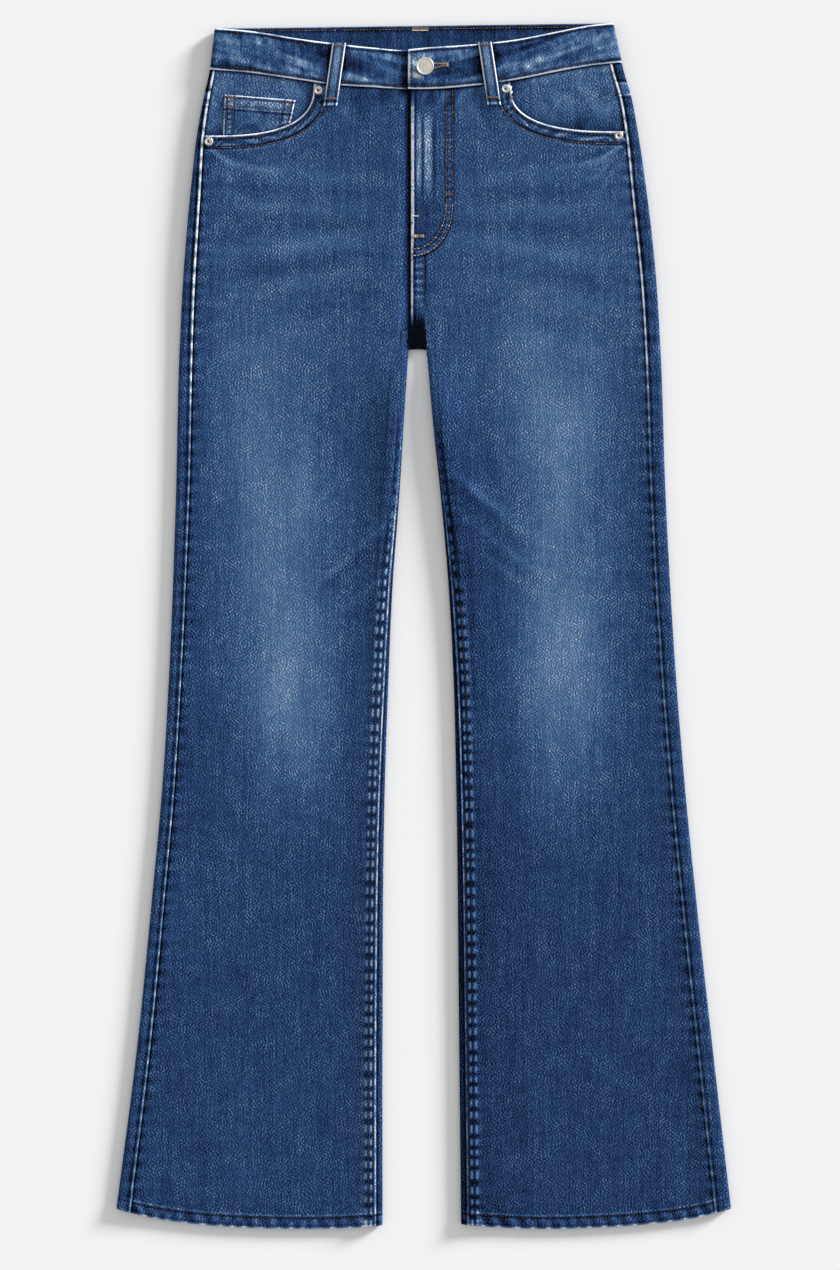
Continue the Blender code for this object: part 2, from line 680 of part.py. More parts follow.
def make_waistband():
    """Waistband: one strip from the tab end round the back to the end under the tab."""
    rows = []
    run = np.linspace(0.0, 1.0, 13)
    for part in (0.0, 0.33, 0.67, 1.0):
        left_edge = float(reading(OUTLINE, "left", 37.0 * part))
        right_edge = float(reading(OUTLINE, "right", 5.0 + 38.0 * part))
        left_x, fold_z = fold_columns(left_edge, 1.0, LIFT, BAND_TOP, BAND_FOLD_COUNT)
        right_x = fold_columns(right_edge, -1.0, LIFT, BAND_TOP, BAND_FOLD_COUNT)[0][::-1]
        tab_x = TAB_END + (left_x[0] - TAB_END) * run[:-1]
        back_x = left_x[-1] + (right_x[0] - left_x[-1]) * run[1:-1]
        under_x = right_x[-1] + (BAND_UNDER_END - right_x[-1]) * np.linspace(0.0, 1.0, 17)[1:]
        under_z = BAND_TOP - BAND_DIP * ease(under_x, TAB_END - 34.0, TAB_END - 3.0)
        x = np.concatenate([tab_x, left_x, back_x, right_x, under_x])
        z = np.concatenate([
            np.full_like(tab_x, BAND_TOP), fold_z, np.full_like(back_x, LIFT), fold_z[::-1], under_z])
        over = np.concatenate([
            np.ones_like(tab_x), np.linspace(1.0, 0.0, BAND_FOLD_COUNT), np.zeros_like(back_x),
            np.linspace(0.0, 1.0, BAND_FOLD_COUNT), np.ones_like(under_x)])
        rows.append(points(x, waist_edge(x, over, part), z))
    return make_cloth("waistband", np.array(rows), DENIM_COLOUR, wall=BAND_WALL, turned=True)


def make_front_loop(side):
    """Belt loop bowed over the band and sewn down on the front below it."""
    (top_x, top_down), (low_x, low_down) = FRONT_LOOPS[side]
    part = np.linspace(0.0, 1.0, 10)[:, None]
    across = np.linspace(-0.5, 0.5, 2)[None, :] * LOOP_WIDTH
    x = top_x + (low_x - top_x) * part + across
    down = top_down + (low_down - top_down) * part + 0.0 * across
    on_band = BAND_TOP + GAP + LOOP_WALL
    seat = top_height(side, x, down) + GAP + LOOP_WALL
    past = ease(down - reading(WAIST, "seam", x), 1.5, 10.0)
    bow = LOOP_BOW * np.sin(np.pi * np.clip(part / 0.72, 0.0, 1.0)) ** 0.8
    height = on_band + (seat - on_band) * past + bow
    name = "belt_loop_front_" + side
    return make_cloth(name, points(x, down, height), DENIM_COLOUR, wall=LOOP_WALL, turned=True)


def make_box(name, low, high, colour):
    """Plain block between two corners given as x, down and height."""
    size = [abs(b - a) * MM for a, b in zip(low, high)]
    middle = [0.5 * (a + b) for a, b in zip(low, high)]
    bpy.ops.mesh.primitive_cube_add(size=1.0)
    block = bpy.context.object
    mesh = block.data
    bpy.data.objects.remove(block, do_unlink=True)
    place = points(*middle)
    corners = np.zeros(len(mesh.vertices) * 3)
    mesh.vertices.foreach_get("co", corners)
    corners = corners.reshape(-1, 3) * np.array(size) + place
    mesh.vertices.foreach_set("co", corners.ravel())
    mesh.name = name
    return make_object(name, mesh, colour)


def make_back_loop(side):
    """Belt loop on the back, pressed flat under the garment."""
    x = BACK_LOOPS[side]
    top = float(back_top(x)) + 2.0
    low = (x - 0.5 * LOOP_WIDTH, top, 0.0)
    high = (x + 0.5 * LOOP_WIDTH, top + BACK_LOOP_LENGTH, LOOP_WALL)
    return make_box("belt_loop_back_" + side, low, high, DENIM_COLOUR)


def make_back_pocket(side):
    """Plain patch pocket under the back panel, a flat five-sided piece."""
    outward = OUTWARD[side]
    curve = bpy.data.curves.new("back_pocket_" + side, "CURVE")
    curve.dimensions = "2D"
    curve.fill_mode = "BOTH"
    curve.extrude = 0.5 * POCKET_WALL * MM
    spline = curve.splines.new("POLY")
    spline.points.add(len(BACK_POCKET) - 1)
    for point, (out, down) in zip(spline.points, BACK_POCKET):
        x, y, z = points(CENTRE_BACK + outward * out, down, 0.5 * POCKET_WALL)
        point.co = (x, y, 0.0, 1.0)
    spline.use_cyclic_u = True
    thing = bpy.data.objects.new(curve.name, curve)
    thing.location = (0.0, 0.0, 0.5 * POCKET_WALL * MM)
    curve.materials.append(make_material(curve.name, DENIM_COLOUR, 0.85))
    bpy.data.collections["Jeans"].objects.link(thing)
    return thing


def make_turned(name, profile, x, down, height, steps, colour):
    """Round piece turned from a profile of radius and height, top first, standing at a place."""
    mesh = bpy.data.meshes.new(name)
    corners = [(radius * MM, 0.0, level * MM) for radius, level in profile]
    mesh.from_pydata(corners, [(i, i + 1) for i in range(len(corners) - 1)], [])
    thing = make_object(name, mesh, colour, roughness=0.35, metallic=1.0)
    screw = thing.modifiers.new("Turn", "SCREW")
    screw.steps = steps
    screw.render_steps = steps
    screw.use_merge_vertices = True
    screw.merge_threshold = 0.00001
    thing.location = points(x, down, height)
    return thing


def make_button():
    """Shank button: a flared foot, a neck and a rimmed, slightly domed cap."""
    radius = BUTTON_RADIUS
    profile = (
        (0.0, BUTTON_RISE - 0.5),
        (0.55 * radius, BUTTON_RISE - 0.6),
        (0.72 * radius, BUTTON_RISE - 0.7),
        (0.8 * radius, BUTTON_RISE),
        (0.93 * radius, BUTTON_RISE - 0.1),
        (radius, BUTTON_RISE - 0.7),
        (0.95 * radius, BUTTON_RISE - 1.6),
        (0.45 * radius, BUTTON_RISE - 2.2),
        (0.38 * radius, 0.8),
        (0.5 * radius, 0.0),
        (0.0, 0.0),
    )
    return make_turned("button", profile, *BUTTON_PLACE, BAND_TOP + GAP, 28, METAL)


def make_rivet(place):
    """Domed rivet with a small nipple, set on the front at a corner of a pocket mouth."""
    side, x, down = RIVETS[place]
    profile = (
        (0.0, RIVET_RISE),
        (0.28 * RIVET_RADIUS, RIVET_RISE - 0.15),
        (0.4 * RIVET_RADIUS, RIVET_RISE - 0.7),
        (0.75 * RIVET_RADIUS, RIVET_RISE - 0.6),
        (RIVET_RADIUS, 0.35),
        (RIVET_RADIUS, 0.0),
        (0.0, 0.0),
    )
    ring = np.linspace(0.0, 2 * math.pi, 12)
    under = top_height(side, x + RIVET_RADIUS * np.cos(ring), down + RIVET_RADIUS * np.sin(ring))
    return make_turned("rivet_" + place, profile, x, down, float(under.max()) + GAP, 16, METAL)


def build():
    """Make every piece of the jeans."""
    remove_everything()
    collection = bpy.data.collections.new("Jeans")
    bpy.context.scene.collection.children.link(collection)
    for side in OUTWARD:
        make_front(side)
        make_back(side)
        make_yoke(side)
        make_facing(side)
        make_front_loop(side)
        make_back_pocket(side)
    make_coin_pocket()
    make_waistband()
    for place in BACK_LOOPS:
        make_back_loop(place)
    make_button()
    for place in RIVETS:
        make_rivet(place)


build()
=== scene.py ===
import math

import bpy
import numpy as np
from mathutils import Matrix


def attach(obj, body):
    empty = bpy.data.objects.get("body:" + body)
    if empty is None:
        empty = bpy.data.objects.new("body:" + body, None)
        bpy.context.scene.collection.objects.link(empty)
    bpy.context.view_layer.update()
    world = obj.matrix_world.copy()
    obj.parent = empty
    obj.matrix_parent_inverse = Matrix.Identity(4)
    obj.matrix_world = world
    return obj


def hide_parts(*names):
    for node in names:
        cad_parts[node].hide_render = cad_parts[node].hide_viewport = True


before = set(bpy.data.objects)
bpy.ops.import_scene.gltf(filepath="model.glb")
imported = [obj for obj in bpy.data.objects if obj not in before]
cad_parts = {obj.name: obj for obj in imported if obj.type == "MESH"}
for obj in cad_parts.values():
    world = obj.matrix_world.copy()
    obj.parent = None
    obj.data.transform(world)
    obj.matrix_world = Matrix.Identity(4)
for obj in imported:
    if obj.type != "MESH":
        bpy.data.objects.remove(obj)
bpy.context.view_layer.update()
print("frame loaded:", len(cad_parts), "nodes")

# All sizes are millimetres until a mesh is made. x runs across the garment, "down" is the distance
# below the highest edge of the waist and z is the height above the surface that it lies on.
mm = 0.001
jeans = {
    "length": 1119.7, "gap": 0.3, "joint": 0.06, "denim": 1.5, "lift": 1.8, "liftEnd": 253.0, "foldReach": 4.2,
    "puffReach": 42.0, "centreBack": -4.6, "flyEdge": -11.6,
    "crotchBack": 303.0, "inseamInset": 6.5, "hemDepth": 10.5, "hemRise": 0.8}

outline = {  # outer edges of the garment seen from above
    "down": (0, 24.2, 44.6, 68.8, 98.6, 154.4, 228.8, 298.5, 442.7, 610.1, 703.1, 814.7, 944.9, 1119.7),
    "right": (-193.4, -196.2, -198.6, -204.1, -209.7, -216.2, -222.7, -226.5, -230.2, -236.7, -242.3,
              -252.5, -265.5, -287.8),
    "left": (176.2, 181.4, 186.0, 193.0, 198.6, 206.9, 215.3, 219.9, 225.1, 234.8, 242.3, 253.4,
             267.8, 287.8)}
inner = {  # inner edges of the legs below the crotch
    "down": (283.0, 306.9, 368.3, 442.7, 517.1, 610.1, 703.1, 944.9, 1119.7),
    "right": (-13.7, -14.4, -18.1, -22.8, -28.4, -32.6, -35.8, -38.1, -38.1),
    "left": (1.6, 3.3, 8.4, 16.3, 22.8, 27.9, 30.2, 33.0, 34.9)}
sideInset = {  # from an outer edge in to its side seam
    "down": (36.0, 95.0, 160.0, 290.0, 665.0, 1119.7),
    "right": (4.6, 6.5, 9.6, 12.0, 11.4, 13.2),
    "left": (11.4, 11.6, 14.0, 14.2, 13.6, 15.2)}
heights = {  # of the upper cloth, mid panel and at the folded edges
    "down": (36.0, 110.0, 165.0, 240.0, 276.0, 304.0, 338.0, 380.0, 450.0, 560.0, 700.0, 1119.7),
    "middle": (9.6, 8.6, 7.8, 7.2, 6.5, 5.7, 5.2, 4.8, 4.7, 4.6, 4.6, 4.8),
    "outerEdge": (9.7, 9.2, 8.9, 8.4, 7.7, 7.3, 7.1, 7.0, 7.0, 7.0, 7.0, 7.0),
    "innerEdge": (9.6, 8.6, 7.8, 7.2, 6.5, 6.4, 9.4, 10.6, 9.6, 7.6, 7.0, 7.0)}
waist = {  # front edges of the waistband
    "x": (-198.6, -158.6, -118.6, -85.1, -49.8, -17.2, 1.4, 43.2, 89.7, 123.2, 155.8, 186.0),
    "top": (5.0, 8.4, 14.9, 19.3, 23.3, 25.2, 23.6, 20.7, 15.4, 8.8, 2.6, 0.0),
    "seam": (43.6, 47.0, 52.8, 57.6, 60.0, 61.7, 61.9, 59.0, 52.5, 45.8, 40.0, 36.8)}
hem = {  # lower edge of a leg from its outer to its inner corner
    "share": (0.0, 0.15, 0.31, 0.5, 0.7, 0.86, 1.0),
    "right": (1100.2, 1109.8, 1115.4, 1118.6, 1119.7, 1118.9, 1116.2),
    "left": (1100.2, 1109.8, 1115.2, 1118.4, 1119.7, 1118.2, 1115.2)}
inseamLine = {  # from an inner edge in to the worn white line of its seam
    "down": (364, 396, 452, 517, 610, 768, 1000, 1119.7),
    "inset": (0.8, 1.4, 2.3, 3.1, 4.1, 5.6, 6.5, 6.5)}
pocket = {  # hand pockets: quarter superellipse from the waist seam to the side seam
    "power": 2.8, "margin": 13.0, "spread": 0.97,
    "right": {"start": -101.8, "depth": 49.6}, "left": {"start": 80.1, "depth": 47.0}}
band = {"wall": 2.8, "height": 37.5, "top": 11.0, "tabEnd": -14.4, "underEnd": 18.0, "dip": 3.2}
outward = {"right": -1.0, "left": 1.0}
nowhere = 1000.0  # distance given to places that a seam or edge doesn't reach
crotchRows = (276.0, 287.0, 297.0, 306.0, 322.0)  # side seam places whose rows turn round the crotch
hemRows = {"last": 1080.0, "outer": 1101.0, "inner": 1116.0, "rise": 14.0}  # last even row, then the hem's own
puckers = {  # pitch of the gathers of a seam and the seed of their noise on each side
    "side": (13.0, {"left": 3, "right": 4}), "ladder": (11.0, {"left": 5, "right": 6}),
    "hem": (14.0, {"left": 9, "right": 9}), "waist": (9.0, {"left": 12, "right": 12})}
# soft ridges and troughs pressed into the fronts: x, down, angle, length, width, height
folds = (
    (-118, 158, 8, 96, 11, 0.7), (-132, 190, 4, 118, 13, -0.7), (-112, 222, -6, 104, 12, 0.8),
    (-126, 262, -12, 120, 15, -0.6), (116, 160, -7, 92, 11, 0.7), (128, 196, 3, 112, 13, -0.7),
    (104, 236, 8, 108, 13, 0.8), (124, 276, 14, 120, 15, -0.5), (-58, 492, -40, 84, 13, 0.9),
    (-70, 548, -30, 70, 14, -0.5), (58, 450, 39, 104, 13, 0.9), (78, 520, 28, 84, 15, -0.5),
    (-168, 640, 18, 90, 17, 0.6), (170, 660, -16, 92, 17, 0.6))


def curve(table, name, where):
    # smooth line through a column: cubic pieces that share the slopes of the rows beside them
    places = np.array(next(iter(table.values())), dtype=float)
    values = np.array(table[name], dtype=float)
    slopes = np.gradient(values, places)
    where = np.clip(np.asarray(where, dtype=float), places[0], places[-1])
    i = np.clip(np.searchsorted(places, where, side="right") - 1, 0, len(places) - 2)
    span = places[i + 1] - places[i]
    p = (where - places[i]) / span
    start = values[i] * (1 + 2 * p) * (1 - p) ** 2 + slopes[i] * span * p * (1 - p) ** 2
    return start + values[i + 1] * (3 - 2 * p) * p ** 2 + slopes[i + 1] * span * (p - 1) * p ** 2


def ease(value, low, high):
    # 0 below low, 1 above high, 3p^2 - 2p^3 between
    p = np.clip((np.asarray(value, dtype=float) - low) / (high - low), 0.0, 1.0)
    return p * p * (3 - 2 * p)


def bell(value, middle, width):
    # Gaussian: 1 at the middle, 1/e one width away
    return np.exp(-((value - middle) / width) ** 2)


def stripe(value, low, high, soft):
    # 1 from low to high, fading over soft on both sides
    return ease(value, low - soft, low + soft) * (1 - ease(value, high - soft, high + soft))


def softNoise(x, y, pitch, seed):
    # random heights from -1 to 1 on a square lattice, eased between its corners
    table = np.random.default_rng(seed).random((96, 96)) * 2 - 1
    gx, gy = np.broadcast_arrays(np.asarray(x, dtype=float) / pitch, np.asarray(y, dtype=float) / pitch)
    ix, iy = np.floor(gx).astype(int), np.floor(gy).astype(int)
    fx, fy = ease(gx - ix, 0, 1), ease(gy - iy, 0, 1)
    top = table[ix % 96, iy % 96] * (1 - fx) + table[(ix + 1) % 96, iy % 96] * fx
    low = table[ix % 96, (iy + 1) % 96] * (1 - fx) + table[(ix + 1) % 96, (iy + 1) % 96] * fx
    return top * (1 - fy) + low * fy


def pucker(along, pitch, seed):
    # 0 to 1, one uneven swelling a pitch: a sine whose phase wanders by noise
    wander = softNoise(along, 0.37 * seed, 2.3 * pitch, seed) * 0.9
    return 0.5 + 0.5 * np.sin(2 * math.pi * (along / pitch + wander * 0.35))


def seamPucker(seam, side, along):
    # the gathers of one named seam
    pitch, seeds = puckers[seam]
    return pucker(along, pitch, seeds[side])


def joined(*values):
    # equal arrays side by side along a new last axis
    return np.stack(values, axis=-1)


def spread(marks, x, down):
    # sum of marks: a bell across each one, flat along it and dying away at its ends
    total = np.zeros(np.broadcast(x, down).shape)
    for atX, atDown, angle, length, width, gain in marks:
        c, s = math.cos(math.radians(angle)), math.sin(math.radians(angle))
        along = (x - atX) * c + (down - atDown) * s
        across = (down - atDown) * c - (x - atX) * s
        total = total + gain * np.exp(-(across / width) ** 2 - (along / (0.5 * length)) ** 4)
    return total


def hemDown(side, x):
    # lower edge of a leg: its column read at the share of the way from the outer to the inner corner
    outer, inside = curve(outline, side, jeans["length"]), curve(inner, side, jeans["length"])
    return curve(hem, side, np.clip((x - outer) / (inside - outer), 0.0, 1.0))


def sideSeam(side, down):
    # x of the side seam: the outer edge less its inset
    return curve(outline, side, down) - outward[side] * curve(sideInset, side, down)


def underside(down):
    # height of the lowest cloth: lifted by the layers under the waist, on the floor below them
    return jeans["lift"] * (1 - ease(down, jeans["liftEnd"], jeans["liftEnd"] + 30.0))


def mouthBox(side):
    # corner of the pocket mouth at the side, its half-width across and its depth
    start = pocket[side]["start"]
    cornerDown = float(curve(waist, "seam", start))
    cornerX = float(sideSeam(side, cornerDown + pocket[side]["depth"]))
    return cornerX, cornerDown, outward[side] * (cornerX - start), pocket[side]["depth"]


def mouthCurve(side, count=400, grow=0.0):
    # quarter superellipse, grown outwards by some millimetres for a row beside it
    cornerX, cornerDown, across, depth = mouthBox(side)
    turn = np.linspace(0.0, 0.5 * math.pi, count)
    x = cornerX - outward[side] * (across + grow) * np.cos(turn) ** (2 / pocket["power"])
    return x, cornerDown + (depth + grow) * np.sin(turn) ** (2 / pocket["power"])


def fromMouth(side, x, down):
    # distance from the pocket mouth, positive on the front panel, from the level of the superellipse
    cornerX, cornerDown, across, depth = mouthBox(side)
    power = pocket["power"]
    a = np.clip(outward[side] * (cornerX - x) / across, 0.0, None)
    b = np.clip((down - cornerDown) / depth, 0.0, None)
    level = (a ** power + b ** power) ** (1 / power)
    share = a ** power / np.maximum(a ** power + b ** power, 1e-6)
    return (level - 1) * (across * share + depth * (1 - share)), level


fly = {"width": 32.5, "turnDown": 168.0, "depth": 42.2, "power": 2.1, "secondRow": 6.1}


def fromFly(x, down):
    # signed distance from the inner row of the J: negative inside it
    a = np.clip((x - jeans["flyEdge"]) / fly["width"], 0.0, None)
    b = np.clip((down - fly["turnDown"]) / fly["depth"], 0.0, None)
    return ((a ** fly["power"] + b ** fly["power"]) ** (1 / fly["power"]) - 1) * fly["width"]


def topHeight(side, x, down):
    # the frame's upper cloth: middle height, swelling towards folded edges, pressed folds, hem
    way = outward[side]
    fromOuter = (curve(outline, side, down) - x) * way
    fromInner = np.where(down > inner["down"][0], (x - curve(inner, side, down)) * way, nowhere)
    middle = curve(heights, "middle", down)
    reach = (jeans["foldReach"], jeans["foldReach"] + jeans["puffReach"])
    z = middle + (curve(heights, "outerEdge", down) - middle) * (1 - ease(fromOuter, *reach))
    z = z + (curve(heights, "innerEdge", down) - middle) * (1 - ease(fromInner, *reach))
    z = z + spread(folds, x, down) * ease(fromOuter, 14, 34) * ease(fromInner, 14, 34)
    ridge = ease(fromInner, 6.8, 7.8) - ease(fromInner, 15.0, 16.2)
    z = z + 0.6 * ridge * ease(down, 300.0, 360.0)
    toHem = hemDown(side, x) - down
    return z + jeans["hemRise"] * (1 - ease(toHem, jeans["hemDepth"], jeans["hemDepth"] + 1.5))


def addMesh(name, corners, faces, fields=None):
    # mesh from numpy corners in mm (x, down, z) and faces; fields become point attributes
    place = np.stack([corners[:, 0], 0.5 * jeans["length"] - corners[:, 1], corners[:, 2]], axis=-1) * mm
    mesh = bpy.data.meshes.new(name)
    mesh.from_pydata(place.tolist(), [], faces.tolist() if hasattr(faces, "tolist") else faces)
    for field, values in (fields or {}).items():
        kind = "FLOAT_VECTOR" if values.ndim == 2 else "FLOAT"
        layer = mesh.attributes.new(field, kind, "POINT")
        layer.data.foreach_set("vector" if values.ndim == 2 else "value", values.astype(np.float32).ravel())
    mesh.shade_smooth()
    thing = bpy.data.objects.new(name, mesh)
    bpy.context.scene.collection.objects.link(thing)
    return thing


def gridFaces(rows, columns, keep=None, turned=False):
    # quads between neighbouring rows and columns, only the kept ones, wound the other way if turned
    index = np.arange(rows * columns).reshape(rows, columns)
    faces = np.stack([index[:-1, :-1], index[:-1, 1:], index[1:, 1:], index[1:, :-1]], axis=-1)
    faces = faces[keep] if keep is not None else faces.reshape(-1, 4)
    return faces[:, ::-1] if turned else faces


def finishPiece(thing, material, slot, *nodes):
    thing.data.materials.append(material)
    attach(thing, "root")
    if nodes:
        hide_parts(*nodes)
    return thing


def clothPiece(name, grid, fields, material, slot, nodes, wall, keep=None, turned=False):
    # a cloth wall: the grid is its outer face, thickened inwards
    rows, columns = grid.shape[:2]
    faces = gridFaces(rows, columns, keep, turned)
    used, faces = np.unique(faces, return_inverse=True)
    flat = {field: values.reshape(rows * columns, *values.shape[2:])[used] for field, values in fields.items()}
    thing = addMesh(name, grid.reshape(-1, 3)[used], faces.reshape(-1, 4), flat)
    solidify = thing.modifiers.new("wall", "SOLIDIFY")
    solidify.thickness = wall * mm
    solidify.offset = -1.0
    solidify.use_even_offset = False
    finishPiece(thing, material, slot, *nodes)
    print(name, "made:", len(faces) // 4, "faces")
    return thing


# materials

def node(tree, kind, links=None, **settings):
    made = tree.nodes.new(kind)
    for name, value in settings.items():
        setattr(made, name, value)
    for name, value in (links or {}).items():
        if isinstance(value, bpy.types.NodeSocket):
            tree.links.new(value, made.inputs[name])
        else:
            made.inputs[name].default_value = value
    return made


def calc(tree, operation, *values, clamp=False):
    made = node(tree, "ShaderNodeMath", dict(enumerate(values)), operation=operation, use_clamp=clamp)
    return made.outputs[0]


def remap(tree, value, low, high, toLow=0.0, toHigh=1.0):
    made = node(tree, "ShaderNodeMapRange", {"Value": value, "From Min": low, "From Max": high,
                                             "To Min": toLow, "To Max": toHigh},
                interpolation_type="SMOOTHSTEP")
    return made.outputs["Result"]


def noise(tree, vector, scale, detail=2.0, rough=0.5, stretch=(1, 1, 1)):
    mapped = node(tree, "ShaderNodeMapping", {"Vector": vector, "Scale": stretch})
    made = node(tree, "ShaderNodeTexNoise", {"Vector": mapped.outputs[0], "Scale": scale,
                                             "Detail": detail, "Roughness": rough})
    return made.outputs["Fac"]


def colourRamp(tree, factor, colours):
    # colours are pairs of a place from 0 to 1 and display values
    ramp = node(tree, "ShaderNodeValToRGB", {"Fac": factor})
    stops = ramp.color_ramp.elements
    while len(stops) < len(colours):
        stops.new(0.5)
    for stop, (place, colour) in zip(stops, colours):
        stop.position = place
        stop.color = colourOf(*colour)
    return ramp.outputs["Color"]


def colourOf(red, green, blue):
    # display values 0 to 255 to the linear ones that nodes take
    linear = [c / 12.92 if c <= 0.04045 else ((c + 0.055) / 1.055) ** 2.4
              for c in (red / 255, green / 255, blue / 255)]
    return (*linear, 1.0)


def newGroup(name, inputs, outputs):
    group = bpy.data.node_groups.new(name, "ShaderNodeTree")
    for direction, sockets in (("INPUT", inputs), ("OUTPUT", outputs)):
        for label, kind, value in sockets:
            socket = group.interface.new_socket(label, in_out=direction, socket_type="NodeSocket" + kind)
            if value is not None:
                socket.default_value = value
    return group, group.nodes.new("NodeGroupInput").outputs, group.nodes.new("NodeGroupOutput").inputs


washes = (  # tone of the indigo, from unwashed to worn white
    (0.0, (1, 4, 12)), (0.2, (22, 40, 74)), (0.4, (36, 64, 106)), (0.6, (64, 94, 133)),
    (0.8, (114, 139, 167)), (1.0, (222, 226, 231)))


def makeDenimGroup():
    # crinkled twill: short wandering ridges like a fingerprint, soft blots, warp slubs and fine grain
    group, given, out = newGroup(
        "washedTwill",
        [("Position", "Vector", None), ("Tone", "Float", 0.4), ("Pale", "Float", 0.0), ("Dark", "Float", 0.0),
         ("Crackle", "Float", 1.0)],
        [("Color", "Color", None), ("Roughness", "Float", None), ("Height", "Float", None)])
    position = given["Position"]
    ridges = node(group, "ShaderNodeTexGabor", {"Vector": position, "Scale": 190.0, "Frequency": 2.0,
                                                "Anisotropy": 0.25, "Orientation": 0.0}, gabor_type="2D")
    ridges = remap(group, ridges.outputs["Value"], 0.40, 0.70, -0.4, 0.6)
    cloud = noise(group, position, 60.0, 3.0, 0.55)
    strength = calc(group, "MULTIPLY", remap(group, cloud, 0.3, 0.7, 0.65, 1.25), given["Crackle"])
    ridges = calc(group, "MULTIPLY", ridges, strength)
    blots = noise(group, position, 520.0, 2.0, 0.6)
    grain = noise(group, position, 1500.0, 2.0, 0.6)
    slub = noise(group, position, 560.0, 2.0, 0.5, (1.0, 0.05, 1.0))
    tone = given["Tone"]
    marked = calc(group, "ADD", given["Pale"], given["Dark"])
    plain = calc(group, "MULTIPLY", remap(group, marked, 0.1, 0.6, 1.0, 0.25),
                 remap(group, given["Tone"], 0.42, 0.66, 1.0, 0.62))
    warp = noise(group, position, 420.0, 2.0, 0.5, (1.0, 0.012, 1.0))
    for part, amount in ((ridges, 0.33),
                         (calc(group, "SUBTRACT", blots, 0.5), 0.54),
                         (calc(group, "SUBTRACT", grain, 0.5), 0.60),
                         (calc(group, "SUBTRACT", slub, 0.5), 0.26),
                         (calc(group, "SUBTRACT", warp, 0.5), 0.16),
                         (calc(group, "SUBTRACT", cloud, 0.5), 0.18)):
        tone = calc(group, "ADD", tone, calc(group, "MULTIPLY", calc(group, "MULTIPLY", part, amount), plain))
    frayed = calc(group, "MULTIPLY", given["Pale"], remap(group, grain, 0.3, 0.7, 0.92, 1.06))
    tone = calc(group, "ADD", tone, frayed)
    tone = calc(group, "SUBTRACT", tone, given["Dark"], clamp=True)
    group.links.new(colourRamp(group, tone, washes), out["Color"])
    group.links.new(remap(group, grain, 0.2, 0.8, 0.78, 0.95), out["Roughness"])
    height = calc(group, "ADD", ridges, calc(group, "MULTIPLY", blots, 0.6))
    group.links.new(calc(group, "ADD", height, calc(group, "MULTIPLY", slub, 0.4)), out["Height"])
    return group


def principled(name, **values):
    material = bpy.data.materials.new(name)
    material.use_nodes = True
    shader = material.node_tree.nodes["Principled BSDF"]
    for label, value in values.items():
        shader.inputs[label].default_value = value
    return material, material.node_tree, shader


def makeDenim(name, denimGroup, crackle=1.0, relief=0.0002):
    # one denim: wear with painted shade and painted highlights (tone, pale, dark) is read from the piece's own
    # attribute
    material, tree, shader = principled(name)
    shader.inputs["Specular IOR Level"].default_value = 0.04
    shader.inputs["Sheen Weight"].default_value = 0.01
    shader.inputs["Sheen Roughness"].default_value = 0.6
    shader.inputs["Sheen Tint"].default_value = (0.6, 0.7, 0.9, 1.0)
    position = node(tree, "ShaderNodeTexCoord").outputs["Object"]
    wearAndShade = node(tree, "ShaderNodeAttribute", attribute_name="wearAndShade").outputs["Vector"]
    wearAndShade = node(tree, "ShaderNodeSeparateXYZ", {0: wearAndShade}).outputs
    cloth = tree.nodes.new("ShaderNodeGroup")
    cloth.node_tree = denimGroup
    cloth.inputs["Crackle"].default_value = crackle
    for label, value in (("Position", position), ("Tone", wearAndShade[0]), ("Pale", wearAndShade[1]), ("Dark", wearAndShade[2])):
        tree.links.new(value, cloth.inputs[label])
    bump = node(tree, "ShaderNodeBump", {"Height": cloth.outputs["Height"], "Distance": relief, "Strength": 1.0})
    tree.links.new(cloth.outputs["Color"], shader.inputs["Base Color"])
    tree.links.new(cloth.outputs["Roughness"], shader.inputs["Roughness"])
    tree.links.new(bump.outputs[0], shader.inputs["Normal"])
    return material


threads = (  # tint of the thread, from black to worn ecru
    (0.0, (10, 12, 22)), (0.3, (34, 31, 38)), (0.6, (102, 74, 56)), (0.85, (156, 126, 94)), (1.0, (226, 220, 208)))


def makeThreadGroup():
    # two-ply thread: its colour from the stitch's own tint, broken by fine fibre noise
    group, given, out = newGroup(
        "threadFibre",
        [("Position", "Vector", None), ("Tint", "Float", 0.5)],
        [("Color", "Color", None), ("Height", "Float", None)])
    fibre = noise(group, given["Position"], 2600.0, 2.0, 0.6)
    tint = calc(group, "ADD", given["Tint"], calc(group, "MULTIPLY", calc(group, "SUBTRACT", fibre, 0.5), 0.35),
                clamp=True)
    group.links.new(colourRamp(group, tint, threads), out["Color"])
    group.links.new(fibre, out["Height"])
    return group


def makeThread(name, threadGroup):
    material, tree, shader = principled(name, Roughness=0.75)
    shader.inputs["Specular IOR Level"].default_value = 0.25
    position = node(tree, "ShaderNodeTexCoord").outputs["Object"]
    tint = node(tree, "ShaderNodeAttribute", attribute_name="tint").outputs["Fac"]
    thread = tree.nodes.new("ShaderNodeGroup")
    thread.node_tree = threadGroup
    tree.links.new(position, thread.inputs["Position"])
    tree.links.new(tint, thread.inputs["Tint"])
    bump = node(tree, "ShaderNodeBump", {"Height": thread.outputs["Height"], "Distance": 0.0001})
    tree.links.new(thread.outputs["Color"], shader.inputs["Base Color"])
    tree.links.new(bump.outputs[0], shader.inputs["Normal"])
    return material


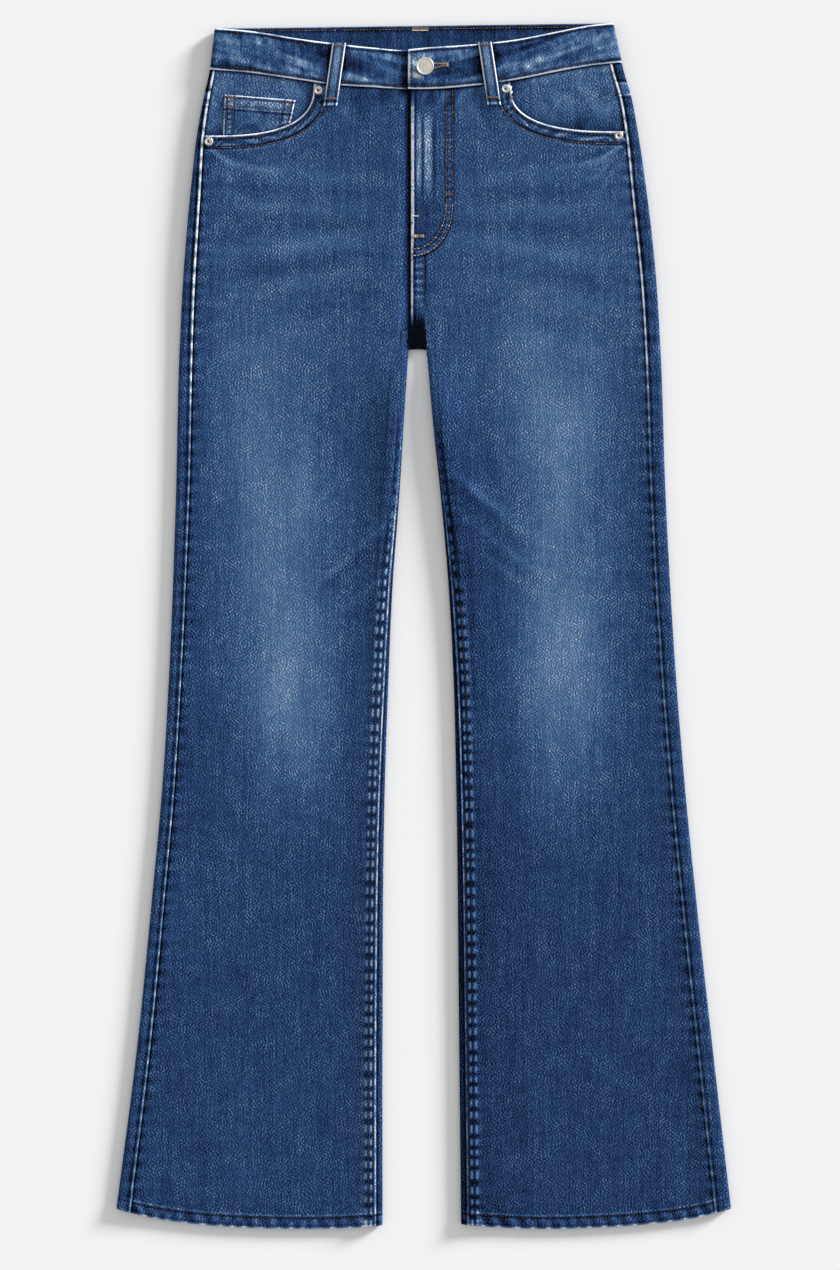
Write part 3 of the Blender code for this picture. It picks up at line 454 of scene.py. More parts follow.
def makeMetal(name, colour, roughness, centre):
    # worn nickel: fine scratches, dull patches and a centre left equal or darkened by painted shade of its hollow
    material, tree, shader = principled(name, Metallic=0.85)
    position = node(tree, "ShaderNodeTexCoord").outputs["Object"]
    cloud = noise(tree, position, 420.0, 3.0, 0.6)
    scratch = noise(tree, position, 1500.0, 2.0, 0.5, (1.0, 0.08, 1.0))
    tone = calc(tree, "ADD", calc(tree, "MULTIPLY", cloud, 0.5), calc(tree, "MULTIPLY", scratch, 0.5))
    worn = colourRamp(tree, tone, ((0.2, [0.82 * c for c in colour]), (0.8, colour)))
    away = node(tree, "ShaderNodeAttribute", attribute_name="away").outputs["Fac"]
    # painted shade in the hollow centre: the colour is scaled down to centre towards the middle
    inside = remap(tree, away, 0.24, 0.42, centre, 1.0)
    shade = node(tree, "ShaderNodeVectorMath", {0: worn, "Scale": inside}, operation="SCALE")
    tree.links.new(shade.outputs[0], shader.inputs["Base Color"])
    tree.links.new(remap(tree, cloud, 0.2, 0.8, roughness, roughness + 0.15), shader.inputs["Roughness"])
    bump = node(tree, "ShaderNodeBump", {"Height": scratch, "Distance": 0.00002})
    tree.links.new(bump.outputs[0], shader.inputs["Normal"])
    return material


denimGroup = makeDenimGroup()
denim = makeDenim("denim", denimGroup)
darkDenim = makeDenim("darkDenim", denimGroup)
bandDenim = makeDenim("bandDenim", denimGroup, crackle=0.6)
threadGroup = makeThreadGroup()
thread = makeThread("thread", threadGroup)
buttonMetal = makeMetal("buttonMetal", (234, 229, 220), 0.38, 1.0)
rivetMetal = makeMetal("rivetMetal", (222, 217, 211), 0.34, 0.12)
print("materials made")

# fronts

fade = {  # pale centre of each leg: where it runs and how strong it is
    "down": (230, 290, 368, 443, 500, 554, 620, 660, 700, 730, 780),
    "rightAt": (-146, -148, -145, -138, -134, -131, -127, -124, -120, -117, -112),
    "leftAt": (112, 113, 122, 127, 130, 132, 132, 132, 129, 126, 124),
    "right": (0.02, 0.09, 0.19, 0.26, 0.26, 0.28, 0.29, 0.24, 0.16, 0.08, 0.0),
    "left": (0.03, 0.13, 0.23, 0.23, 0.24, 0.27, 0.30, 0.26, 0.20, 0.10, 0.0),
    "wide": (56, 54, 52, 52, 50, 48, 46, 44, 40, 38, 36)}
# pale and dark whiskers and creases of the wash: x, down, angle, length, width, gain
whiskers = (
    (-120, 140, 6, 130, 7, 0.07), (-110, 156, 3, 150, 6, -0.05), (-118, 172, 2, 140, 7, 0.07),
    (-105, 190, -3, 150, 7, -0.05), (-115, 206, -5, 150, 8, 0.08), (-110, 224, -8, 150, 7, -0.05),
    (-112, 240, -10, 140, 9, 0.06), (-90, 262, -14, 130, 9, -0.05), (-150, 300, -18, 110, 10, 0.04),
    (115, 138, -8, 130, 7, 0.06), (110, 156, -4, 150, 7, -0.05), (118, 174, 0, 150, 7, 0.07),
    (105, 192, 4, 150, 8, -0.05), (112, 212, 7, 150, 8, 0.08), (108, 232, 10, 140, 8, -0.05),
    (110, 250, 14, 130, 9, 0.07), (92, 274, 18, 120, 10, -0.04), (140, 305, 16, 110, 10, 0.04),
    (-58, 486, -42, 96, 3.5, 0.15), (-66, 500, -42, 90, 6, -0.07), (-44, 520, -38, 80, 4, 0.10),
    (56, 440, 40, 120, 3.5, 0.13), (60, 456, 40, 120, 6, -0.06), (64, 478, 38, 110, 3.5, 0.12),
    (72, 496, 36, 100, 6, -0.05), (82, 512, 34, 90, 4, 0.08))
creases = (  # pulled from the side rivets and from the seam under the waistband
    (-190, 123, 34, 34, 2.0, 0.16), (-193, 129, 52, 36, 2.6, -0.12), (-186, 137, 48, 38, 2.2, 0.12),
    (-170, 126, 22, 44, 3.0, -0.08), (-160, 133, 14, 52, 3.0, 0.08), (-182, 152, 62, 40, 2.6, 0.08),
    (176, 119, -32, 32, 2.0, 0.15), (178, 127, -50, 36, 2.6, -0.12), (170, 134, -44, 38, 2.2, 0.12),
    (156, 124, -20, 44, 3.0, -0.08), (146, 131, -12, 52, 3.0, 0.08), (168, 150, -60, 40, 2.6, 0.08),
    (-72, 84, 60, 22, 2.2, 0.12), (-58, 78, 68, 24, 2.2, -0.08), (-40, 82, 80, 26, 2.4, 0.09),
    (34, 80, 78, 26, 2.4, 0.08), (48, 84, 62, 24, 2.2, 0.10), (62, 94, 50, 22, 2.4, -0.08))
depths = {  # how dark the cloth is away from the fade
    "down": (60, 150, 250, 330, 450, 620, 760, 850, 1119.7),
    "tone": (0.41, 0.435, 0.445, 0.405, 0.375, 0.365, 0.355, 0.345, 0.345)}


def flyLower(side, x, down):
    # the right front dips under the left one along the fly
    if side == "left":
        return 0.0
    return 1.8 * ease(x, jeans["flyEdge"] - 15.0, jeans["flyEdge"] - 3.0) * (1 - ease(down, 283.0, 305.0))


def frontPlaces(side, x, down):
    # distances in mm from each seam and edge of a front
    way = outward[side]
    innerEdge = curve(inner, side, down) + way * jeans["inseamInset"]
    toLine = (x - curve(inner, side, down)) * way - curve(inseamLine, "inset", down)
    mouth = fromMouth(side, x, down)[0]
    return {
        "side": (sideSeam(side, down) - x) * way,
        "inner": np.where(down > 284.0, (x - innerEdge) * way, nowhere),
        "ladder": ease(down, 358.0, 392.0),
        "line": np.where(down > 300.0, toLine, nowhere),
        "hem": hemDown(side, x) - down,
        "mouth": np.where(down < 170.0, np.maximum(mouth, -2.0), nowhere),
        "waist": down - curve(waist, "seam", x),
        "fly": np.where(down < 290.0, x - jeans["flyEdge"], nowhere),
        "jay": fromFly(x, down)}


def frontHeight(side, x, down, at=None):
    # frame height plus sewn relief: rolled edges, felled ridges, stitch grooves and puckers
    at = at or frontPlaces(side, x, down)
    z = topHeight(side, x, down) - flyLower(side, x, down)
    along = down + 0.35 * x
    z = z + 0.35 * np.exp(-np.clip(at["side"], 0, None) / 7.0) * seamPucker("side", side, down)
    z = z - 0.45 * (1 - ease(at["side"], 0.0, 1.5))
    ladder = seamPucker("ladder", side, down) * at["ladder"]
    z = z + 0.35 * ladder * stripe(at["inner"], 0.6, 8.2, 0.8)
    z = z + at["ladder"] * 0.3 * pucker(down, 11.0, 7) * np.exp(-np.clip(at["inner"] - 8.5, 0, None) / 5.0) \
        * (at["inner"] > 8.4)
    hemWave = seamPucker("hem", side, x + 0.5 * at["hem"])
    z = z + 0.4 * hemWave * (1 - ease(at["hem"], 10.0, 30.0)) - 0.35 * (1 - ease(at["hem"], 0.0, 1.5))
    inMouth = (1 - ease(at["mouth"], 10.5, 12.2))
    z = z + 0.45 * inMouth * (1 + 0.4 * pucker(along, 5.0, 11)) - 0.6 * (1 - ease(at["mouth"], -0.5, 1.4))
    z = z + 0.2 * (1 - ease(at["waist"], 3.0, 14.0)) * seamPucker("waist", side, x)
    if side == "left":
        z = z + 0.35 * (1 - ease(at["jay"], -0.5, 1.0)) - 0.3 * bell(at["jay"], 0.2, 0.9)
        z = z - 0.3 * bell(at["jay"], fly["secondRow"], 0.9) - 0.6 * (1 - ease(at["fly"], 0.0, 1.6))
        below = ease(down, 205.0, 214.0) * (1 - ease(down, 283.0, 300.0))
        z = z + below * (0.4 * stripe(at["fly"], 1.0, 12.0, 1.0) * (0.7 + 0.5 * pucker(down, 7.0, 13)))
    return z


def frontWearAndShade(side, x, down, at):
    # tone, pale and dark over a front: fade of the leg, whiskers, worn seams with painted shadows beside them,
    # painted shade at the fly and crotch, and painted shade and highlights of gathers
    way = outward[side]
    tone = curve(depths, "tone", down)
    middle = curve(fade, side + "At", down)
    wide = curve(fade, "wide", down)
    legFade = curve(fade, side, down) * np.exp(-np.abs((x - middle) / wide) ** 2.2)
    tone = tone + legFade * (1 + 0.22 * softNoise(x, 0.35 * down, 22.0, 21))
    tone = tone + 1.15 * spread(whiskers, x, down) * (0.8 + 0.5 * softNoise(x, down, 16.0, 22))
    tone = tone + 1.5 * spread(creases, x, down)
    streaky = softNoise(0.16 * x, down + 0.10 * np.abs(x + 5.0), 5.0, 25)
    tone = tone + 0.03 * streaky * stripe(down, 130.0, 285.0, 30.0)
    tone = tone + 0.02 * softNoise(x, 0.4 * down, 30.0, 23) + 0.012 * softNoise(x, down, 9.0, 24)
    toInner = np.clip(at["inner"], 0, 80)
    shaded = {"right": (-0.01, 0.045), "left": (0.16, -0.05)}[side]
    tone = tone - shaded[0] * np.exp(-toInner / 34.0) * ease(down, 330, 420)
    tone = tone - shaded[1] * np.exp(-np.clip(at["side"], 0, 90) / 26.0)
    tone = tone - 0.015 * ease(down, 700.0, 900.0) * (side == "left")
    pale = 0.0 * x
    dark = 0.0 * x
    # side seam: worn crests, painted shade in the hollows between them and a painted shadow line along the seam
    crest = seamPucker("side", side, down)
    nearSide = np.exp(-np.clip(at["side"] - 2.0, 0, None) / 5.0)
    seamShadow = 1 - 0.35 * ease(down, 230.0, 420.0)
    dark = dark + 0.42 * seamShadow * (1 - ease(at["side"], 1.0, 2.8)) + 0.17 * nearSide * (1 - crest)
    pale = pale + 0.10 * nearSide * crest ** 2
    # inseam: ladder of pale crests on a near-black ridge, with a painted shadow line of the gap to the back just
    # outside the worn white line
    leg, line = at["ladder"], at["line"]
    rung = ease(seamPucker("ladder", side, down), 0.15, 0.65)
    grown = 0.55 + 0.45 * ease(down, 396.0, 560.0)
    dots = (bell(line, 4.1 * grown, 1.4) + 0.9 * bell(line, 8.8 * grown, 1.5) * ease(down, 480, 560)) * rung
    dots = np.clip(dots, 0, 1) * (0.35 + 0.65 * ease(down, 400.0, 520.0))
    drawn = 0.3 + 0.7 * ease(down, 395.0, 500.0)
    beads = 0.85 + 0.3 * softNoise(down, 0, 4.0, 31)
    ridge = 0.21 * stripe(line, 1.3, 9.8 * grown, 0.6) * (1 - 0.8 * dots)
    dark = dark + leg * (ridge + 0.32 * bell(line, -1.8, 0.9))
    dark = dark + leg * 0.05 * (1 - ease(line, -3.0, -1.0))
    pale = pale + leg * (0.56 * dots + 0.70 * bell(line, 0.0, 0.65) * beads * drawn)
    beyond = np.exp(-np.clip(line - 10.5 * grown, 0, None) / 6.0) * (line > 10.5 * grown) * leg
    dark = dark + 0.10 * beyond * (1 - rung)
    pale = pale + leg * 0.07 * bell(line, 11.8 * grown, 1.6)
    # hem
    wave = seamPucker("hem", side, x + 0.5 * at["hem"])
    onHem = 1 - ease(at["hem"], 9.5, 10.8)
    pale = pale + 0.52 * (1 - ease(at["hem"], 0.7, 1.7)) * (0.7 + 0.3 * wave)
    pale = pale + 0.30 * bell(at["hem"], 12.2, 0.9) * (0.5 + 0.6 * wave) + 0.26 * onHem * wave ** 2
    dark = dark + 0.42 * bell(at["hem"], 10.2, 0.9) + 0.08 * onHem * (1 - wave) + 0.14 * bell(at["hem"], 3.0, 0.8)
    dark = dark + 0.07 * (1 - ease(at["hem"], 11.0, 30.0)) * (1 - wave)
    pale = pale + 0.16 * onHem * stripe(line, 1.0, 10.0, 0.8)
    # pocket mouth and waist seam
    onMouth = 1 - ease(at["mouth"], 10.6, 11.8)
    turns = pucker(0.8 * x - 0.8 * down * way, 4.6, 14)
    pale = pale + 0.66 * (1 - ease(at["mouth"], 1.0, 2.0)) * (0.95 + 0.15 * softNoise(x, down, 5.0, 32))
    dark = dark + 0.38 * bell(at["mouth"], 3.4, 1.2) + onMouth * 0.14 * (1 - turns)
    dark = dark + 0.46 * bell(at["mouth"], 11.5, 1.2)
    pale = pale + onMouth * 0.34 * turns ** 2 * stripe(at["mouth"], 5.0, 9.4, 0.9)
    pale = pale + 0.14 * bell(at["mouth"], 13.6, 1.2)
    pulled = seamPucker("waist", side, x)
    # painted shadow under the waistband's edge, darker cloth between the seam's pulls and a paler band below
    dark = dark + 0.38 * (1 - ease(at["waist"], 0.6, 2.4)) + 0.08 * (1 - ease(at["waist"], 2.0, 9.0)) * (1 - pulled)
    pale = pale + 0.12 * bell(at["waist"], 5.5, 3.0) * (0.3 + 0.7 * pulled)
    # painted shade and painted highlights of gathers near the fly under the waistband
    nearFly = bell(x, -14.0, 62.0) * (1 - ease(at["waist"], 3.0, 26.0))
    gathers = softNoise(x + 0.3 * down, 0.3 * down, 4.2, 36)
    dark = dark + nearFly * (0.13 + 0.22 * np.clip(gathers, 0, 1))
    pale = pale + 0.46 * nearFly * np.clip(-gathers, 0, 1)
    if side == "left":
        worn = ease(down, 58, 80) * (1 - ease(down, 276, 286))
        beads = 0.85 + 0.2 * pucker(down, 3.4, 34) + 0.2 * softNoise(x, down, 4.0, 33)
        lineWidth = 2.4 - 0.9 * ease(down, 184.0, 214.0)
        pale = pale + 0.60 * (1 - ease(at["fly"], lineWidth, lineWidth + 0.9)) * worn * beads
        streaks = ease(down, 78, 100) * (1 - ease(down, 140, 170)) * (1 + 0.3 * softNoise(x, 0.4 * down, 5.0, 35))
        pale = pale + streaks * (0.32 * stripe(at["fly"], 4.8, 9.8, 0.8) + 0.30 * stripe(at["fly"], 12.0, 19.0, 1.4))
        dark = dark + streaks * (0.20 * bell(at["fly"], 10.8, 1.0) + 0.16 * bell(at["fly"], 21.5, 1.6))
        # painted shade beside the fly's worn white edge
        dark = dark + (0.30 + 0.16 * ease(down, 205, 216)) * bell(at["fly"], lineWidth + 1.9, 0.8) * worn
        dark = dark + 0.09 * stripe(at["fly"], 4.5, 30.0, 5.0) * ease(down, 140, 175) * (1 - ease(down, 196, 215))
        between = stripe(at["jay"], 0.8, fly["secondRow"] - 0.8, 0.8) * (down < 216)
        rows = (down < 219) * ease(at["fly"], 0.5, 3.0)
        dark = dark + rows * (0.38 * bell(at["jay"], 0.0, 1.3) + 0.38 * bell(at["jay"], fly["secondRow"], 1.3))
        pale = pale + 0.14 * between * pucker(down, 6.0, 15) ** 2
        dark = dark + 0.10 * between * (1 - pucker(down, 6.0, 15)) + 0.3 * stripe(at["fly"], 3.6, 13.4, 0.6) * (
            bell(down, 195.2, 1.0) + bell(down, 201.0, 1.0))
        below = ease(down, 212.0, 222.0) * (1 - ease(down, 250.0, 275.0))
        fell = stripe(at["fly"], 3.0, 12.0, 1.0)
        pale = pale + below * 0.26 * fell * pucker(down, 7.0, 13) ** 2
        dark = dark + below * (0.40 * bell(at["fly"], 13.2, 1.1) + 0.14 * fell * (1 - pucker(down, 7.0, 13)))
        # painted shade where the front turns down into the crotch
        nearCrotch = ease(down, 262.0, 281.0) * (1 - ease(down, 284.0, 300.0))
        dark = dark + nearCrotch * 0.5 * (1 - ease(at["fly"], 11.0, 14.0))
    else:
        # painted shadow of the left front's fly edge on the right front
        over = jeans["flyEdge"] - x
        dark = dark + 0.52 * np.exp(-np.clip(over - 1.4, 0, None) / 1.5) * (1 - ease(down, 296, 308))
    return joined(tone, np.clip(pale, 0, 0.75), np.clip(dark, 0, 0.6))


def frontPlan(side):
    # places of a front: across it from the fly or inseam to the side, down it from waist to hem
    way = outward[side]
    halfGap = 0.5 * jeans["joint"]
    crotchDown, corner, bend, legTop, even = crotchRows
    last = hemRows["last"]

    def across(width, corner=None):
        # even small steps near both edges, larger ones between; the pocket's corner keeps a column
        far = np.linspace(18, 0, 17)
        near = np.concatenate([np.linspace(0, 12, 18), np.linspace(12, 18, 6)[1:]])
        if side == "left":
            near = np.concatenate([near, np.linspace(18, 46, 17)[1:]])
        split, base = 14, near[-1]
        if corner is None:
            middle = np.linspace(base, width - 18, 36)[1:-1]
        else:
            beyond = np.linspace(corner, width - 18, 36 - split)[1:-1]
            middle = np.concatenate([np.linspace(base, corner, split + 1)[1:], beyond])
        return np.concatenate([near, middle, width - far])

    def rowAt(innerX, innerDown, seamDown):
        outerX = float(sideSeam(side, seamDown)) - way * halfGap
        part = across(abs(outerX - innerX)) / abs(outerX - innerX)
        return joined(innerX + (outerX - innerX) * part, innerDown + (seamDown - innerDown) * part)

    def flyPlace(down):
        if side == "left":
            return jeans["flyEdge"]
        return jeans["flyEdge"] + 17.0 - 13.0 * float(ease(down, 215.0, 282.0))

    start = pocket[side]["start"]
    waistX = np.linspace(flyPlace(60.0), start, 200)
    mouthX, mouthDown = mouthCurve(side)
    topX = np.concatenate([waistX, mouthX[1:]])
    topDown = np.concatenate([curve(waist, "seam", waistX) + 1.6 * jeans["gap"], mouthDown[1:]])
    run = np.concatenate([[0], np.cumsum(np.hypot(np.diff(topX), np.diff(topDown)))])
    place = across(run[-1], run[199])
    top = joined(np.interp(place, run, topX), np.interp(place, run, topDown))
    top[-1, 0] -= way * halfGap
    first = rowAt(flyPlace(150.0), 150.0, 150.0)
    rows = []
    for part in np.linspace(0, 1, 42)[:-1]:
        row = top + (first - top) * part
        row[-1, 0] = float(sideSeam(side, row[-1, 1])) - way * halfGap
        rows.append(row)
    inset = way * (jeans["inseamInset"] + halfGap)
    innerHere = float(curve(inner, side, jeans["crotchBack"])) + inset
    if side == "right":
        crotch = [(-9.0, 279.5, crotchDown), (-14.6, 283.0, corner), (innerHere, 286.0, bend)]
    else:
        crotch = [(jeans["flyEdge"], 281.0, crotchDown), (-1.0, 283.2, corner), (innerHere, 286.0, bend)]
    guide = [(flyPlace(d), d, d) for d in np.arange(150.0, 267.0, 4.0)] + crotch
    guide += [(float(curve(inner, side, 310.0)) + inset, 310.0, legTop)]
    guide += [(float(curve(inner, side, d)) + inset, d, d) for d in np.arange(even, last + 1.0, 5.0)]
    guide = np.array(guide)
    for seamDown in np.concatenate([np.arange(150.0, 310.0, 2.0), np.arange(310.0, last, 2.1), [last]]):
        innerX, innerDown = (np.interp(seamDown, guide[:, 2], guide[:, column]) for column in (0, 1))
        rows.append(rowAt(innerX, innerDown, seamDown))
    low = rows[-1]
    share = (low[:, 0] - low[0, 0]) / (low[-1, 0] - low[0, 0])

    def above(rise):
        # row a little above the hem, its ends on the inseam and on the side seam
        innerX = float(curve(inner, side, hemRows["inner"] - rise)) + inset
        x = innerX + (float(sideSeam(side, hemRows["outer"] - rise)) - way * halfGap - innerX) * share
        return joined(x, hemDown(side, x) - rise)

    rows += [low + (above(hemRows["rise"]) - low) * part for part in np.linspace(0, 1, 12)[1:]]
    rows += [above(rise) for rise in np.linspace(hemRows["rise"], 0.0, 16)[1:]]
    return np.array(rows)


def makeFront(side):
    # the plan raised to the front's height
    plan = frontPlan(side)
    x, down = plan[..., 0], plan[..., 1]
    at = frontPlaces(side, x, down)
    grid = np.concatenate([plan, frontHeight(side, x, down, at)[..., None]], axis=-1)
    wearAndShade = frontWearAndShade(side, x, down, at)
    return clothPiece("front" + side.title(), grid, {"wearAndShade": wearAndShade}, denim, "denim", ["front_panel_" + side],
                      jeans["denim"], turned=side == "left")


# backs and yokes

def foldTurn(count):
    # half-ellipse of a folded edge, top to bottom: how far back it lies and its height share
    turn = np.linspace(0.5 * math.pi, -0.5 * math.pi, count)
    return jeans["foldReach"] * (np.cos(turn) - 1), np.sin(turn)


def outerWrap(side, seamDown, steps=19, flatSteps=10):
    # strip from the side seam out to the fold and the fold itself, for many rows at once
    way = outward[side]
    edge = curve(outline, side, seamDown)[:, None]
    seam = sideSeam(side, seamDown)[:, None] + way * 0.5 * jeans["joint"]
    low = underside(seamDown)[:, None]
    high = curve(heights, "outerEdge", seamDown)[:, None]
    back, share = foldTurn(steps)
    foldX = edge + way * back
    foldZ = 0.5 * (high + low) + 0.5 * (high - low) * share
    part = np.linspace(0, 1, flatSteps)[:-1]
    flatX = seam + (foldX[:, :1] - seam) * part
    seamZ = topHeight(side, seam, seamDown[:, None])
    flatZ = seamZ + (foldZ[:, :1] - seamZ) * part
    return np.concatenate([flatX, foldX], axis=1), np.concatenate([flatZ, foldZ], axis=1), flatSteps - 1


def stripWearAndShade(x, down, fromSeam, seed):
    # back cloth that shows beside a seam: a worn line on its edge, puckers across it with painted shade in their
    # hollows, and a painted shadow line beside the worn line
    tone = 0.36 + 0.02 * softNoise(x, down, 12.0, seed)
    crest = pucker(down, puckers["side"][0], seed)
    near = np.exp(-np.clip(fromSeam, 0, None) / 6.0)
    leg = ease(down, 230.0, 420.0)
    line = (1 - ease(fromSeam, 1.6 - 0.8 * leg, 2.3 - 0.7 * leg)) * (1 - 0.2 * leg)
    line = line * (0.92 + 0.2 * softNoise(down, 0.0, 6.0, seed + 1))
    blotch = softNoise(0.8 * x, down, 7.0, seed + 2) * (1 - 0.6 * leg)
    tone = tone + 0.12 * np.clip(blotch, -1, 1)
    dark = 0.14 * near * (1 - crest) + (0.46 - 0.14 * leg) * bell(fromSeam, 3.5 - 0.5 * leg, 1.1)
    return tone, (0.66 - 0.20 * leg) * line + 0.16 * near * crest, dark


yoke = {"right": 75.0, "left": 66.0, "centre": 104.0}


def makeBack(side):
    # one strip wrapped from the side seam round the outer fold, under the leg and up its inner fold
    way = outward[side]
    gap = jeans["gap"]
    centre = jeans["centreBack"] + way * 0.5 * jeans["joint"]
    reach = jeans["foldReach"]
    mouthEnd = mouthBox(side)[1] + mouthBox(side)[3]
    crotchBack = jeans["crotchBack"]
    innerHere = float(curve(inner, side, crotchBack))
    inset = jeans["inseamInset"] - 0.5 * jeans["joint"]
    crotchDown, legTop, even = crotchRows[0], crotchRows[3], crotchRows[4]
    last = hemRows["last"]
    # guide rows above the crotch: place on the side seam and where the row meets the centre seam
    guide = [(yoke[side] + gap, yoke["centre"] + gap), (mouthEnd, 119.5), (0.5 * (mouthEnd + 150.0), 134.8),
             (150.0, 150.0), (182.0, 182.0), (214.0, 214.0), (240.0, 240.0), (254.0, 260.0), (266.0, 279.0),
             (crotchDown, crotchBack - reach)]
    openSeam = np.concatenate([np.linspace(yoke[side] + gap, 150.0, 30)[:-1], np.arange(150.0, crotchDown, 2.5),
                               [crotchDown]])
    openDown = np.interp(openSeam, [g[0] for g in guide], [g[1] for g in guide])
    seamDown = np.concatenate([np.linspace(crotchDown, even, 34)[:-1], np.arange(even, last, 2.4), [last]])
    leg = seamDown >= legTop
    # the inner fold turns from the crotch seam to the inseam: its edge, share across and facing
    edges = (crotchBack, crotchBack, crotchBack + 0.6, crotchBack + 7.0, even)
    edgeDown = np.where(seamDown < even, np.interp(seamDown, crotchRows, edges), seamDown)
    share = np.interp(seamDown, crotchRows, (0.0, 0.45, 1.0, 1.0, 1.0))
    facing = np.radians(np.interp(seamDown, crotchRows, (90.0, 90.0, 45.0, 0.0, 0.0)))
    edgeX = np.where(leg, curve(inner, side, edgeDown), centre + (innerHere - centre) * share)
    towardX, towardDown = -way * np.cos(facing), np.sin(facing)
    high = curve(heights, "innerEdge", edgeDown)
    back, turn = foldTurn(17)
    back, turn = back[::-1], turn[::-1]
    foldX = edgeX[:, None] + back * towardX[:, None]
    foldDown = edgeDown[:, None] + back * towardDown[:, None]
    foldZ = 0.5 * high[:, None] * (1 + turn)
    seamX = edgeX + way * inset
    tops = (centre, centre + (innerHere - centre) * 0.45, innerHere + way * inset,
            float(curve(inner, side, 310.0)) + way * inset)
    topX = np.where(leg, seamX, np.interp(seamDown, crotchRows[:4], tops))
    topDown = np.interp(seamDown, crotchRows, (283.15, 283.15, 286.05, 310.0, even))
    topDown = np.where(seamDown < even, topDown, seamDown)
    topZ = topHeight(side, topX, topDown) - 0.1 * (seamDown < 290.0)
    part = np.linspace(0, 1, 8)[1:]
    lipX = foldX[:, -1:] + (topX[:, None] - foldX[:, -1:]) * part
    lipDown = foldDown[:, -1:] + (topDown[:, None] - foldDown[:, -1:]) * part
    lipZ = foldZ[:, -1:] + (topZ[:, None] - foldZ[:, -1:]) * part
    innerPart = joined(*(np.concatenate([foldValues[:, 1:], lipValues], axis=1) for foldValues, lipValues in
                         ((foldX, lipX), (foldDown, lipDown), (foldZ, lipZ))))
    allSeam = np.concatenate([openSeam[:-1], seamDown])
    lowX = np.concatenate([np.full(len(openSeam) - 1, centre), foldX[:, 0]])
    lowDown = np.concatenate([openDown[:-1], foldDown[:, 0]])
    wrapX, wrapZ = outerWrap(side, allSeam)[:2]
    rows = len(allSeam)
    share = np.linspace(0, 1, 26)[1:]
    underX = wrapX[:, -1:] + (lowX[:, None] - wrapX[:, -1:]) * share
    underDown = allSeam[:, None] + (lowDown - allSeam)[:, None] * share
    wrapDown = np.repeat(allSeam[:, None], wrapX.shape[1], axis=1)
    outerPart = joined(*(np.concatenate(pair, axis=1) for pair in
                         ((wrapX, underX), (wrapDown, underDown), (wrapZ, underside(underDown)))))
    innerColumns = innerPart.shape[1]
    padded = np.zeros((rows, innerColumns, 3))
    openRows = len(openSeam) - 1
    padded[openRows:] = innerPart
    grid = np.concatenate([outerPart, padded], axis=1)
    low = grid[-1]
    oldOuter, oldInner = float(curve(outline, side, last)), float(curve(inner, side, last))
    share = (low[:, 0] - oldOuter) / (oldInner - oldOuter)

    def above(rise):
        # row a little above the hem, its ends on the outer and inner edges, the upper cloth raised
        outerEdge = float(curve(outline, side, hemRows["outer"] - rise))
        innerEdge = float(curve(inner, side, hemRows["inner"] - rise))
        row = low.copy()
        row[:, 0] = outerEdge + (innerEdge - outerEdge) * share
        row[:, 1] = hemDown(side, row[:, 0]) - rise
        row[:, 2] += jeans["hemRise"] * (1 - ease(rise, 10.5, 12.0)) * ease(row[:, 2], 3.0, 7.0)
        return row

    extra = [low + (above(hemRows["rise"]) - low) * p for p in np.linspace(0, 1, 10)[1:]]
    extra += [above(rise) for rise in np.linspace(hemRows["rise"], 0.0, 12)[1:]]
    grid = np.concatenate([grid, np.array(extra)])
    keep = np.ones((len(grid) - 1, grid.shape[1] - 1), dtype=bool)
    keep[:openRows, outerPart.shape[1] - 1:] = False
    x, down, z = grid[..., 0], grid[..., 1], grid[..., 2]
    fromSide = np.abs(x - sideSeam(side, down))
    fromInner = np.abs(curve(inner, side, down) + way * jeans["inseamInset"] - x)
    tone, pale, dark = stripWearAndShade(x, down, fromSide, puckers["side"][1][side])
    upper = z > 0.55 * curve(heights, "outerEdge", down)
    below = ~upper
    inseamSide = (fromInner < 30.0) & (down > 283.0)
    pale = np.where(inseamSide | below, 0.0, pale)
    dark = np.where(inseamSide | below, 0.0, dark)
    # painted shade of the crotch, where the fronts meet the backs
    crotchShade = ease(down, 270.0, 282.0) * (1 - ease(down, 301.5, 303.5)) * (np.abs(x + 6.0) < 8.5) * (z > 0.1)
    dark = dark + 0.60 * crotchShade
    pale = pale + np.where(upper, 0.42 * (1 - ease(down - yoke[side], 1.2, 2.2)), 0.0)
    dark = dark + np.where(upper, 0.36 * bell(down - yoke[side], 3.6, 1.1), 0.0)
    toHem = hemDown(side, x) - down
    wave = seamPucker("hem", side, x + 0.5 * toHem)
    pale = pale + 0.42 * (1 - ease(toHem, 0.6, 2.2)) * (0.5 + 0.5 * wave)
    dark = dark + 0.2 * bell(toHem, 10.2, 1.0)
    tone = tone + np.where(below, 0.03, 0.0)
    wearAndShade = joined(tone, pale, dark)
    frontal = frontWearAndShade(side, x, down, frontPlaces(side, x, down))
    shown = (down > 303.5) | (np.abs(x + 6.0) > 8.6)
    wearAndShade = np.where((inseamSide & shown & (z > 1.0))[..., None], frontal, wearAndShade)
    return clothPiece("back" + side.title(), grid, {"wearAndShade": wearAndShade}, darkDenim, "denim_dark",
                      ["back_panel_" + side], jeans["denim"], keep, turned=side == "left")


def backTop(x):
    # top edge of the back of the waist: straight, 5 mm lower at the image's left
    share = np.clip((x - outline["right"][0]) / (outline["left"][0] - outline["right"][0]), 0.0, 1.0)
    return 5.0 * (1 - share)


